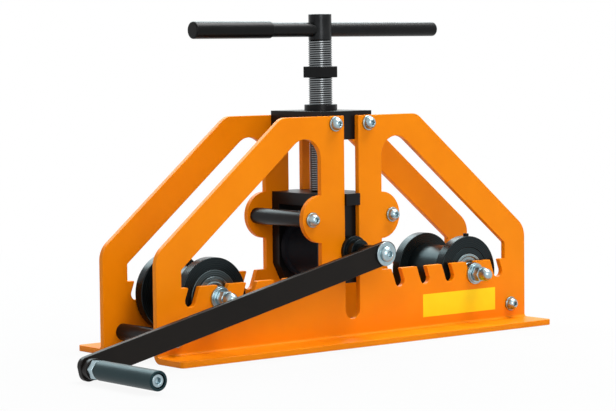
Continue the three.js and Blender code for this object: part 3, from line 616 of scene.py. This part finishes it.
HAIR = 0.01  # left between two arcs that would otherwise meet in one point
BOLT_HOLE = 5.3
HALF_LENGTH, HEIGHT, THICKNESS, INNER = 325, 306, 8, 56
SHOULDER, TOP_HALF, SLOT_HALF, SLOT_FLOOR = 137.7, 118.7, 12.5, 31
COLUMN, WINDOW_END, LEDGE, BAND, EAR_LOW, EAR = 53.5, 285.5, 94, 41, 137, 32
FOLD_INNER, FOOT_EDGE = 4, 118
NOTCH_WIDTH, NOTCH_DEPTH, LEAN = 16.6, 17.3, math.radians(20)
NOTCHES = 79 + 46.6 * np.arange(5)
ROD_PLACES = {"upper": (70.5, 169), "lower": (295, 28.5), "bridge": (29, 295.5)}


def notch(centre):
    """Tooth corners and full round bottom of a notch: its axis leans from the mouth's middle."""
    across = NOTCH_WIDTH / 2 * np.array((math.cos(LEAN), math.sin(LEAN)))
    depth = NOTCH_DEPTH / math.cos(LEAN) + NOTCH_WIDTH / 2
    bottom = np.array((centre + depth * math.sin(LEAN), LEDGE - depth * math.cos(LEAN)))
    half_mouth = NOTCH_WIDTH / 2 / math.cos(LEAN)
    right, left = bottom + across, bottom - across
    return [
        (centre + half_mouth, LEDGE, 1.5), (*right, NOTCH_WIDTH / 2 - HAIR),
        (*left, NOTCH_WIDTH / 2 - HAIR), (centre - half_mouth, LEDGE, 1.5),
    ]


def band_height(x):
    """Underside of the slanting band: the outline's slope, lowered by the band's width across."""
    slope = (HEIGHT - SHOULDER) / (HALF_LENGTH - TOP_HALF)
    return HEIGHT - BAND * math.hypot(1, slope) - (x - TOP_HALF) * slope


window = filleted([
    (COLUMN, LEDGE), (COLUMN, EAR_LOW),
    (COLUMN + EAR, EAR_LOW, EAR), (COLUMN + EAR, EAR_LOW + 2 * EAR, EAR), (COLUMN, EAR_LOW + 2 * EAR),
    (COLUMN, band_height(COLUMN), 27), (WINDOW_END, band_height(WINDOW_END), 3), (WINDOW_END, LEDGE),
    *(corner for centre in NOTCHES[::-1] for corner in notch(centre)),
], closed=True, arc_step=0.14)


def ring(centre, radius, segments=24):
    """Points of a circle round a centre."""
    angle = TURN * np.arange(segments) / segments
    return np.array(centre) + radius * np.stack((np.cos(angle), np.sin(angle)), 1)


FOLD_LENGTH = math.pi / 2 * (FOLD_INNER + THICKNESS / 2)
blank_low = FOLD_INNER + THICKNESS - FOLD_LENGTH - (FOOT_EDGE - INNER - FOLD_INNER - THICKNESS)
outline = filleted([
    (HALF_LENGTH, SHOULDER, 30), (TOP_HALF, HEIGHT, 22),
    (SLOT_HALF, HEIGHT, 1.0), (SLOT_HALF, SLOT_FLOOR, SLOT_HALF - HAIR),
    (-SLOT_HALF, SLOT_FLOOR, SLOT_HALF - HAIR), (-SLOT_HALF, HEIGHT, 1.0),
    (-TOP_HALF, HEIGHT, 22), (-HALF_LENGTH, SHOULDER, 30),
    (-HALF_LENGTH, blank_low, 6), (HALF_LENGTH, blank_low, 6),
], closed=True, arc_step=0.14)
openings = [window, window * (-1, 1)]
openings += [ring((sign * x, z), BOLT_HOLE) for x, z in ROD_PLACES.values() for sign in (-1, 1)]
print("blank:", round(HEIGHT - blank_low, 1), "mm tall before the fold,", len(window), "points a window")

# %% [markdown]
# A press brake folds the blank over a 4 mm nose. The sheet's middle keeps its length, so a
# point's distance past the fold line, over the middle's radius, is the angle that it has
# gone round. Beyond a quarter turn the sheet runs straight again, as the foot.

# %% Folding the side plates


def folded(points, side):
    """Bends (along, up, through the sheet): round an arc of a quarter turn, straight after it."""
    along, up, through = points.T
    outer = FOLD_INNER + THICKNESS
    past = outer - up
    angle = np.clip(past / (FOLD_INNER + THICKNESS / 2), 0, TURN / 4)
    beyond = np.maximum(past - FOLD_LENGTH, 0)
    above = np.maximum(-past, 0)
    radius = outer - through
    across = INNER + outer - radius * np.cos(angle) + beyond
    return np.stack((along, side * across, outer - radius * np.sin(angle) + above), 1)


fold_lines = FOLD_INNER + THICKNESS - np.linspace(0, FOLD_LENGTH, 9)
blank_points, blank_faces = plate(outline, openings, THICKNESS, ease=0.8, cuts=fold_lines)
for end, side in (("front", -1), ("rear", 1)):
    stands_for(f"{end}_side_plate", f"{end}_folded_plate", [(folded(blank_points, side), blank_faces)])
print("folded plates:", len(blank_faces), "faces each")

# %% [markdown]
# The bridge and the yoke are welded from thick bar. Their solids already have the right form,
# so each is a merged copy of its node, with its sharp edges beveled by 0.8 mm.

# %% Bridge and yoke


def softened(node, name, width_mm):
    """Merged copy of a node's mesh, flat faces joined, and its edges over 30 degrees beveled."""
    mesh = nodes[node].data.copy()
    mesh.name = name
    shell = bmesh.new()
    shell.from_mesh(mesh)
    bmesh.ops.remove_doubles(shell, verts=shell.verts, dist=0.01 * MM)
    bmesh.ops.dissolve_limit(shell, angle_limit=math.radians(1), verts=shell.verts, edges=shell.edges)
    sharp = [edge for edge in shell.edges if edge.calc_face_angle(0) > math.radians(30)]
    bevel = {"offset": width_mm * MM, "segments": 3, "profile": 0.5, "affect": "EDGES", "clamp_overlap": True}
    bmesh.ops.bevel(shell, geom=sharp, **bevel)
    shell.to_mesh(mesh)
    shell.free()
    piece = finished(name, mesh, look_of_slot[slot_of[node]], body_of[node])
    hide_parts(node)


softened("bridge", "bridge_channel", width_mm=0.8)
softened("carriage", "press_yoke", width_mm=0.8)
boss = filleted([(16.5, 292.5), (19, 292.5), (19, 312.3), (22.5, 312.3), (22.5, 320.3, 1.0), (16.5, 320.3, 0.6)])
stands_for("screw_nut", "screw_boss", [turned(boss, ring=True, segments=64)])
print("bridge, yoke and boss made")

# %% [markdown]
# Tie rods hold the plates apart, with a button bolt through the plate into each end. Zinc
# plated button bolts have a low dome, a thin flange and a hex socket, and no two of them end
# up turned alike. Pieces that sit on each other are drawn 0.3 mm apart, as the solids are.

# %% Tie rods and button bolts

SEAT = 64.3  # where bolts, collars and washers sit, just outside the plates' faces
rod = filleted([
    (0, -33.7), (BOLT_HOLE, -33.7), (BOLT_HOLE, -55.7), (11, -55.7, 0.8),
    (11, 55.7, 0.8), (BOLT_HOLE, 55.7), (BOLT_HOLE, 33.7), (0, 33.7),
])
shank = [(0, -27), (4.2, -27), (5, -26.2), (5, 0)]
turns = iter(np.radians(17 + 23 * np.arange(40)) % (TURN / 6))
for level, (x, z) in ROD_PLACES.items():
    for hand, sign in (("left", -1), ("right", 1)):
        name = f"bridge_{hand}" if level == "bridge" else f"{level}_{hand}_rod"
        if level != "bridge":
            stands_for(name, f"{level}_{hand}_tie_rod", [laid(turned(rod), "+y", (sign * x, 0, z))])
        for end, facing, side in (("front", "-y", -1), ("rear", "+y", 1)):
            turn = next(turns)
            head = button_head(
                flange=10, flange_height=3, radius=8.75, height=8.2, socket=6, socket_depth=5, turn=turn,
            )
            bolt = laid(turned([*shank, *head], turn=turn), facing, (sign * x, side * SEAT, z))
            stands_for(f"{name}_{end}_bolt", f"{name}_{end}_button_bolt", [bolt])
print("rods and bolts made")

# %% [markdown]
# The lead screw climbs 3 mm in each turn. Its thread is a profile of flank, crest, flank and
# root that rises by one pitch in a turn, so the last column of one turn is the first column
# of the next. At both ends it fades into the root. The picture shows it a little over 32 mm
# across, a shade more than the plain 30 mm core that the drawing has.

# %% Lead screw


def thread(crest, root, pitch, low, high, columns=40):
    """Height is the pitch times turns gone, plus the profile's own offset. Radius goes from root
    to crest over a flank. Heights stop at both ends, where the radius is the root's."""
    offsets = pitch * np.array((0, 0.18, 0.62, 0.8))
    depth = np.array((0, 1, 1, 0))
    count = math.ceil((high - low) / pitch) + 2
    turns_gone = np.arange(-1, count)[:, None, None] + np.linspace(0, 1, columns + 1)[None, None, :]
    height = np.clip(low + pitch * turns_gone + offsets[None, :, None], low, high)
    fade = np.clip((height - low) / 0.8, 0, 1) * np.clip((high - height) / 0.8, 0, 1)
    radius = root + (crest - root) * depth[None, :, None] * fade
    angle = TURN * np.linspace(0, 1, columns + 1)
    points = np.stack((radius * np.cos(angle), radius * np.sin(angle), height), axis=-1)
    points = points.reshape(-1, columns + 1, 3)
    caps = np.array(((0, 0, low), (0, 0, high)))[:, None, :].repeat(columns + 1, axis=1)
    return grid(np.concatenate((caps[:1], points, caps[1:])))


PITCH = 3
yoke_top, thread_top, screw_top = 201, 408, 443
tail = filleted([
    (0, 166.4), (7.2, 166.4), (8, 167.2), (8, 183.8), (10, 183.8), (10, yoke_top + 0.3), (13, yoke_top + 0.3),
    (13, yoke_top + 0.6), (0, yoke_top + 0.6),
])
threaded = thread(THREAD_CREST, THREAD_ROOT, PITCH, yoke_top + 0.5, thread_top + 0.2)
stands_for("lead_screw", "screw_thread", [threaded, turned(tail)], thread_steel)
head = filleted([(0, thread_top), (15.8, thread_top, 0.8), (15.8, screw_top, 0.8), (0, screw_top)])
stands_for("lead_screw", "screw_head", [turned(head)], rubbed_black)
print("thread of", round((thread_top - yoke_top) / PITCH), "turns")

# %% [markdown]
# The tee bar slides through the head of the screw. Its right end is turned to a dome, and a
# dipped sleeve covers the left end. Below them a 46 mm nut, locked on the thread, is the stop
# that ends each pass at the same depth.

# %% Tee bar, sleeve and stop nut

bar_radius, bar_height = 9.8, 422
bar = [(0, -213.2), (bar_radius, -213.2), *dome(bar_radius, 205.7, bar_radius / 2, steps=8)]
stands_for("tee_bar", "tee_handle_bar", [laid(turned(bar), "+x", (0, 0, bar_height))], deep_black)
sleeve = filleted([
    (0, 215.9), (11.5, 215.9, 2), (11.5, 87.7, 0.8), (10.05, 87.7), (10.05, 213.5), (0, 213.5),
])
stands_for("tee_bar_sleeve", "tee_handle_sleeve", [laid(turned(sleeve), "-x", (0, 0, bar_height))], sleeve_vinyl)
nut_turn = math.radians(50)
rim, side = hexagon(45, nut_turn), hexagon(46, nut_turn)
stop = [
    (rim, 357), (side, 357.5), (side, 371.5), (rim, 372), (17.6, 372), (16.5, 370.8), (16.5, 358.2), (17.6, 357),
]
stands_for("stop_nut", "hex_stop_nut", [turned(stop, ring=True, segments=96, turn=nut_turn)], deep_black)
print("tee bar, sleeve and stop nut made")

# %% [markdown]
# The drive shaft crosses the yoke, and the driven roller on it carries the bar through. A
# stepped collar on each end keeps the yoke between the plates. The whole set turns with the
# crank, whose arm hangs a little below level in the picture, so crank pieces are drawn with
# the arm level and then swung about the shaft.

# %% Shaft, driven roller and collars

SHAFT = middle("upper_roller")
CRANK_LENGTH, DROOP = 482.5, math.radians(-12.87)


def leaned(part, lean, at):
    """Leans +Z towards +X, about the Y axis, and moves the part: x and z turn by the lean's cosine
    and sine."""
    points, faces = part
    cosine, sine = math.cos(lean), math.sin(lean)
    turn = np.array(((cosine, 0, -sine), (0, 1, 0), (sine, 0, cosine)))
    return points @ turn + np.array(at), faces


def swung(part):
    """Turns a part drawn about the shaft by the crank's droop, and moves it to the shaft."""
    return leaned(part, DROOP, (0, 0, SHAFT[2]))


shaft = filleted([(0, -82.3), (10, -82.3, 0.8), (10, 122.7, 0.6), (7, 122.7), (0, 122.7)])
square_end = filleted([(-7, -7, 1), (7, -7, 1), (7, 7, 1), (-7, 7, 1)], closed=True)
spigot = laid(plate(square_end, [], thickness=8.6, ease=0.4), "-y", (0, -122, 0))
stands_for("drive_shaft", "keyed_shaft", [swung(laid(turned(shaft), "-y")), swung(spigot)])
roller = filleted([
    (10.3, -38.4), (42, -38.4, 0.6), (42, -30.4, 0.4), (39, -27.4, 0.6),
    (39, 27.4, 0.6), (42, 30.4, 0.4), (42, 38.4, 0.6), (10.3, 38.4),
])
roller_part = laid(turned(roller, ring=True, segments=72), "+y", SHAFT)
# The driven roller's dark, dull black is painted shade, because it sits in the shade inside the yoke.
stands_for("upper_roller", "driven_roller", [roller_part], shade_darkened_black)
collar = filleted([
    (10.3, SEAT), (20.5, SEAT, 0.4), (20.5, 70, 0.6), (16, 70, 0.3), (16, 81.3, 0.8), (10.3, 81.3, 0.4),
])
for end, facing in (("front", "-y"), ("rear", "+y")):
    collar_part = laid(turned(collar, ring=True), facing, (0, 0, SHAFT[2]))
    stands_for(f"{end}_collar", f"{end}_shaft_collar", [collar_part])
print("shaft at", np.round(SHAFT, 1))

# %% [markdown]
# The crank arm is a flat bar, rounded over the shaft and squarer at the handle, where a boss
# backs the bolt. A disc washer and a large button bolt hold it on the square end of the shaft.

# %% Crank arm, washer and bolt

arm_half, arm_start, arm_end = 15.3, -CRANK_LENGTH - 13.6, 19.8
arm_outline = filleted([
    (arm_start, -arm_half, 11), (arm_end, -arm_half, arm_half - HAIR),
    (arm_end, arm_half, arm_half - HAIR), (arm_start, arm_half, 11),
], closed=True, arc_step=0.12)
square_hole = filleted([(-7.3, -7.3), (7.3, -7.3), (7.3, 7.3), (-7.3, 7.3)], closed=True)
arm_holes = [square_hole, ring((-CRANK_LENGTH, 0), BOLT_HOLE)]
arm = laid(plate(arm_outline, arm_holes, thickness=8, ease=0.9), "-y", (0, -123, 0))
boss_profile = filleted([(5.3, 130.5), (13, 130.5), (13, 141, 1.0), (5.3, 141, 0.5)])
arm_boss = laid(turned(boss_profile, ring=True), "-y", (-CRANK_LENGTH, 0, 0))
stands_for("crank_arm", "crank_lever", [swung(arm), swung(arm_boss)], warm_black)
disc = filleted([(6.3, 131.3), (16, 131.3, 0.4), (16, 134.3, 0.6), (6.3, 134.3)])
stands_for("crank_washer", "crank_disc_washer", [swung(laid(turned(disc, ring=True), "-y"))])
crank_turn = math.radians(12)
crank_head = button_head(
    flange=0, flange_height=0, radius=10.5, height=6.8, socket=8, socket_depth=5, turn=crank_turn,
)
crank_bolt = turned([(0, -34), (5.2, -34), (6, -33.2), (6, 0), *crank_head], turn=crank_turn, segments=60)
stands_for("crank_bolt", "crank_button_bolt", [swung(laid(crank_bolt, "-y", (0, -134.6, 0)))])
print("crank arm", CRANK_LENGTH, "mm between its centres")

# %% [markdown]
# The handle is a vinyl tube that spins on a long socket bolt. A nut locks the bolt against the
# arm's boss, and the bolt's head sits in a pocket in the end of the grip.

# %% Handle

handle_turn = math.radians(41)
lock_outside = hex_profile(flats=22, low=141.3, high=151.3, turn=handle_turn)
lock = [*lock_outside, (5.9, 151.3), (5.3, 150.7), (5.3, 141.9), (5.9, 141.3)]
handle_nut = laid(turned(lock, ring=True, segments=60, turn=handle_turn), "-y", (-CRANK_LENGTH, 0, 0))
stands_for("handle_nut", "handle_lock_nut", [swung(handle_nut)])
grip = filleted([
    (5.25, 153.1), (12.25, 153.1, 1.6), (12.25, 271.8, 1.6), (9, 271.8, 0.4), (9, 259.8), (5.25, 259.8),
])
stands_for("handle_grip", "crank_grip", [swung(laid(turned(grip, ring=True), "-y", (-CRANK_LENGTH, 0, 0)))])
socket_turn = math.radians(20)
rod_and_head = filleted([(0, 120), (5, 120, 0.8), (5, 260.1), (8, 260.1), (8, 270.1, 0.8), (5.2, 270.1)])
pin_socket = socket_profile(flats=8, mouth=270.1, floor=264.1, turn=socket_turn)
pin = turned([*rod_and_head, *pin_socket], turn=socket_turn)
stands_for("handle_bolt", "handle_socket_bolt", [swung(laid(pin, "-y", (-CRANK_LENGTH, 0, 0)))])
print("handle at", np.round(middle("handle_grip"), 1))

# %% [markdown]
# Each idle roller is a hub with a loose flange at either end, held by a grub screw. A shielded
# ball bearing sits in each of its ends: two races, with a dished shield between them. The
# stepped axle lies in the plates' notches. Cap nuts on stepped washers clamp it.

# %% Idle rollers

hub = filleted([
    (22, -39.7), (27.8, -39.7), (27.8, -52, 0.5), (36, -52, 0.8),
    (36, 52, 0.8), (27.8, 52, 0.5), (27.8, 39.7), (22, 39.7),
])
flange = filleted([(36.3, 37), (52, 37, 1.2), (52, 52, 1.2), (36.3, 52, 0.5)])
races = filleted([
    (15.25, 40, 0.4), (27.5, 40, 0.4), (27.5, 53, 0.6), (23.5, 53, 0.3),
    (23.5, 51.6), (19.25, 51.6), (19.25, 53, 0.3), (15.25, 53, 0.4),
])
shield = filleted([
    (19.3, 51.65), (23.45, 51.65), (23.45, 52.4, 0.2), (22.4, 52.0, 0.3), (20.4, 52.0, 0.3), (19.3, 52.3, 0.2),
])
half_axle = [(15, 55.7, 1.0), (8, 55.7, 0), (8, 63.7, 0.4), (6, 63.7, 0), (6, 85.3, 1.0), (0, 85.3, 0)]
axle = filleted([(r, -h, fillet) for r, h, fillet in half_axle[::-1]] + half_axle)
washer = filleted([
    (6.3, SEAT), (15, SEAT, 0.4), (15, 67.5, 0.5), (13, 67.5, 0.2), (13, 70, 0.5), (6.3, 70),
])
cap_hex = hex_profile(flats=19, low=70.3, high=81.3)
cap_nut = [(0, 86.3), (6.3, 86.3), (6.3, 71), (7, 70.3), *cap_hex, (8.75, 81.3), *dome(8.75, 88, 9.5)]
grub_socket = [(2.9, 55.6), (2.6, 55.2), (2.6, 52.9), (0, 51.9)]
grub = [(0, 46), (3.6, 46), (4, 46.4), (4, 55.1), (3.5, 55.6), *grub_socket]
for hand in ("left", "right"):
    x, y, z = middle(f"{hand}_axle")
    at = (x, 0, z)
    hub_part = laid(turned(hub, ring=True, segments=72), "+y", at)
    stands_for(f"{hand}_roller_hub", f"{hand}_spool_hub", [hub_part], faced[hand]["hub"])
    stands_for(f"{hand}_axle", f"{hand}_stepped_axle", [laid(turned(axle), "+y", at)])
    for end, facing in (("front", "-y"), ("rear", "+y")):
        flange_part = laid(turned(flange, ring=True, segments=96), facing, at)
        stands_for(f"{hand}_roller_{end}_flange", f"{hand}_{end}_spool_flange", [flange_part], faced[hand]["flange"])
        lean = math.radians(3 if (hand, end) == ("right", "front") else 165)
        grub_part = leaned(turned(grub, segments=24), lean, (x, -44.5 if end == "front" else 44.5, z))
        new_piece(f"{hand}_{end}_grub_screw", [grub_part], deep_black, f"{hand}_roller")
        bearing = [laid(turned(part, ring=True), facing, at) for part in (races, shield)]
        stands_for(f"{hand}_{end}_bearing", f"{hand}_{end}_ball_bearing", bearing, faced[hand]["bearing"])
        washer_part = laid(turned(washer, ring=True), facing, at)
        stands_for(f"{hand}_axle_{end}_washer", f"{hand}_{end}_stepped_washer", [washer_part])
        stands_for(f"{hand}_axle_{end}_nut", f"{hand}_{end}_cap_nut", [laid(turned(cap_nut), facing, at)])
print("idle rollers at X", [round(middle(f"{hand}_axle")[0], 1) for hand in ("left", "right")])

# %% [markdown]
# A bare strip of yellow film lies on the front plate. It is 0.15 mm thick, and its corners are
# rounded so that they don't lift. It is a very thin plate, so the plate helper makes it too.

# %% Bare film strip

left, right, low, high = 127.5, 265.8, 22.3, 54.2
corners = filleted([(left, low, 0.8), (right, low, 0.8), (right, high, 0.8), (left, high, 0.8)], closed=True)
strip = laid(plate(corners, [], thickness=0.15, ease=0.05), "-y", (0, -INNER - THICKNESS, 0))
new_piece("bare_film_strip", [strip], yellow_film, "frame")
print("film strip made:", round(right - left, 1), "by", round(high - low, 1), "mm")

# %% [markdown]
# The camera stands a little above bench height, three metres away. Its place, its direction
# and its lens are those that put the machine's edges where the picture has them. The lens is
# given in the picture's own pixels, and the sensor's width over the picture's width turns that
# into millimetres.

# %% Camera


def camera_from(position_mm, azimuth, pitch, roll, focal_px, width_px):
    """Camera looking along an azimuth from +Y towards +X, pitched down and rolled, in degrees."""
    azimuth, pitch, roll = (math.radians(v) for v in (azimuth, pitch, roll))
    level = math.cos(pitch)
    forward = Vector((math.sin(azimuth) * level, math.cos(azimuth) * level, -math.sin(pitch)))
    right = Vector((math.cos(azimuth), -math.sin(azimuth), 0))
    up = right.cross(forward)
    rolled_right = math.cos(roll) * right + math.sin(roll) * up
    rolled_up = -math.sin(roll) * right + math.cos(roll) * up
    data = bpy.data.cameras.new("camera")
    data.sensor_width = 36.0
    data.lens = focal_px * data.sensor_width / width_px
    data.clip_end = 50.0
    made = bpy.data.objects.new("camera", data)
    x, y, z = (np.array(position_mm) + MIDDLE) * MM
    made.matrix_world = Matrix((
        (rolled_right.x, rolled_up.x, -forward.x, x),
        (rolled_right.y, rolled_up.y, -forward.y, y),
        (rolled_right.z, rolled_up.z, -forward.z, z),
        (0, 0, 0, 1),
    ))
    bpy.context.scene.collection.objects.link(made)
    return made


camera = camera_from(
    position_mm=(-1978, -2397, 397), azimuth=39.18, pitch=3.96, roll=-0.63, focal_px=2273, width_px=616,
)
bpy.context.scene.camera = camera
print("lens:", round(camera.data.lens, 1), "mm")

# %% [markdown]
# The stage is a floor and a sky that both look plain white to the camera and to polished
# metal, while other light meets a matt floor and a dimmer sky. Out to half a metre from the
# front foot the floor keeps a small share of its matt look, which is where the soft shadow
# shows, and further out it fades to plain white.

# %% Floor and sky


def seen_by_eye_or_mirror(tree):
    """1 for rays from the camera, from a mirror or through glass, and 0 for diffuse light."""
    rays = add_node(tree, "ShaderNodeLightPath").outputs
    seen = rays["Is Camera Ray"]
    for kind in ("Is Glossy Ray", "Is Transmission Ray"):
        both = {0: seen, 1: rays[kind]}
        seen = add_node(tree, "ShaderNodeMath", both, operation="ADD", use_clamp=True).outputs[0]
    return seen


half = 6.0  # metres
floor_corners = [(-half, -half, 0), (half, -half, 0), (half, half, 0), (-half, half, 0)]
floor_mesh = bpy.data.meshes.new("floor")
floor_mesh.from_pydata(floor_corners, [], [(0, 1, 2, 3)])
floor = bpy.data.objects.new("floor", floor_mesh)
bpy.context.scene.collection.objects.link(floor)
pale, tree, output, place = new_material("pale_floor")
matt = add_node(tree, "ShaderNodeBsdfDiffuse", {"Color": linear("#B4B4B4")}).outputs["BSDF"]
glow = add_node(tree, "ShaderNodeEmission", {"Color": linear("#FFFFFF"), "Strength": 1.0}).outputs["Emission"]
away = add_node(tree, "ShaderNodeVectorMath", {0: place}, operation="LENGTH").outputs["Value"]
fade = {"Value": away, "From Min": 0.5, "From Max": 1.6, "To Min": 0.91, "To Max": 1.0}
white_share = add_node(tree, "ShaderNodeMapRange", fade).outputs["Result"]
shares = {0: seen_by_eye_or_mirror(tree), 1: white_share}
share = add_node(tree, "ShaderNodeMath", shares, operation="MULTIPLY").outputs[0]
mixed = add_node(tree, "ShaderNodeMixShader", {"Fac": share, 1: matt, 2: glow})
tree.links.new(mixed.outputs["Shader"], output.inputs["Surface"])
dress(floor, pale)

world = bpy.data.worlds.new("studio")
bpy.context.scene.world = world
world.use_nodes = True
sky = world.node_tree
sky.nodes.clear()
white = add_node(sky, "ShaderNodeBackground", {"Color": linear("#FFFFFF"), "Strength": 1.0}).outputs["Background"]
direction = add_node(sky, "ShaderNodeTexCoord").outputs["Generated"]
height = add_node(sky, "ShaderNodeSeparateXYZ", {"Vector": direction}).outputs["Z"]
shade = ramp(sky, height, [(0.0, (0.4, 0.4, 0.4, 1)), (0.8, (0.75, 0.77, 0.78, 1))])
dim = add_node(sky, "ShaderNodeBackground", {"Color": shade, "Strength": 0.7}).outputs["Background"]
mixed = add_node(sky, "ShaderNodeMixShader", {"Fac": seen_by_eye_or_mirror(sky), 1: dim, 2: white})
add_node(sky, "ShaderNodeOutputWorld", {"Surface": mixed.outputs["Shader"]})
print("floor and sky are white to the camera")

# %% [markdown]
# Product pictures like this one are lit from all round. A tall soft box in front and to the
# left lights the plates, a wide one overhead lights the feet, and one behind draws the edges.

# %% Lamps

LIT_POINT = Vector((0, 0.09, 0.2))


def soft_box(name, position, size, power, colour="#FFFFFF"):
    """Rectangular area lamp that looks at the machine's middle, and stays out of the picture."""
    data = bpy.data.lights.new(name, "AREA")
    data.color = linear(colour)[:3]
    data.shape = "RECTANGLE"
    data.size, data.size_y = size
    data.energy = power
    made = bpy.data.objects.new(name, data)
    made.location = position
    made.rotation_euler = (LIT_POINT - Vector(position)).to_track_quat("-Z", "Y").to_euler()
    made.visible_camera = False
    bpy.context.scene.collection.objects.link(made)


# place and size in metres, power in watts
soft_box("front soft box", (-1.25, -2.4, 1.0), size=(1.1, 1.6), power=29)
soft_box("overhead soft box", (0.75, -0.2, 2.3), size=(1.9, 1.2), power=75)
soft_box("back soft box", (0.6, 1.9, 1.8), size=(2.8, 1.0), power=58, colour="#E8FCFF")
bpy.context.scene.view_settings.view_transform = "Standard"
print("three soft boxes")
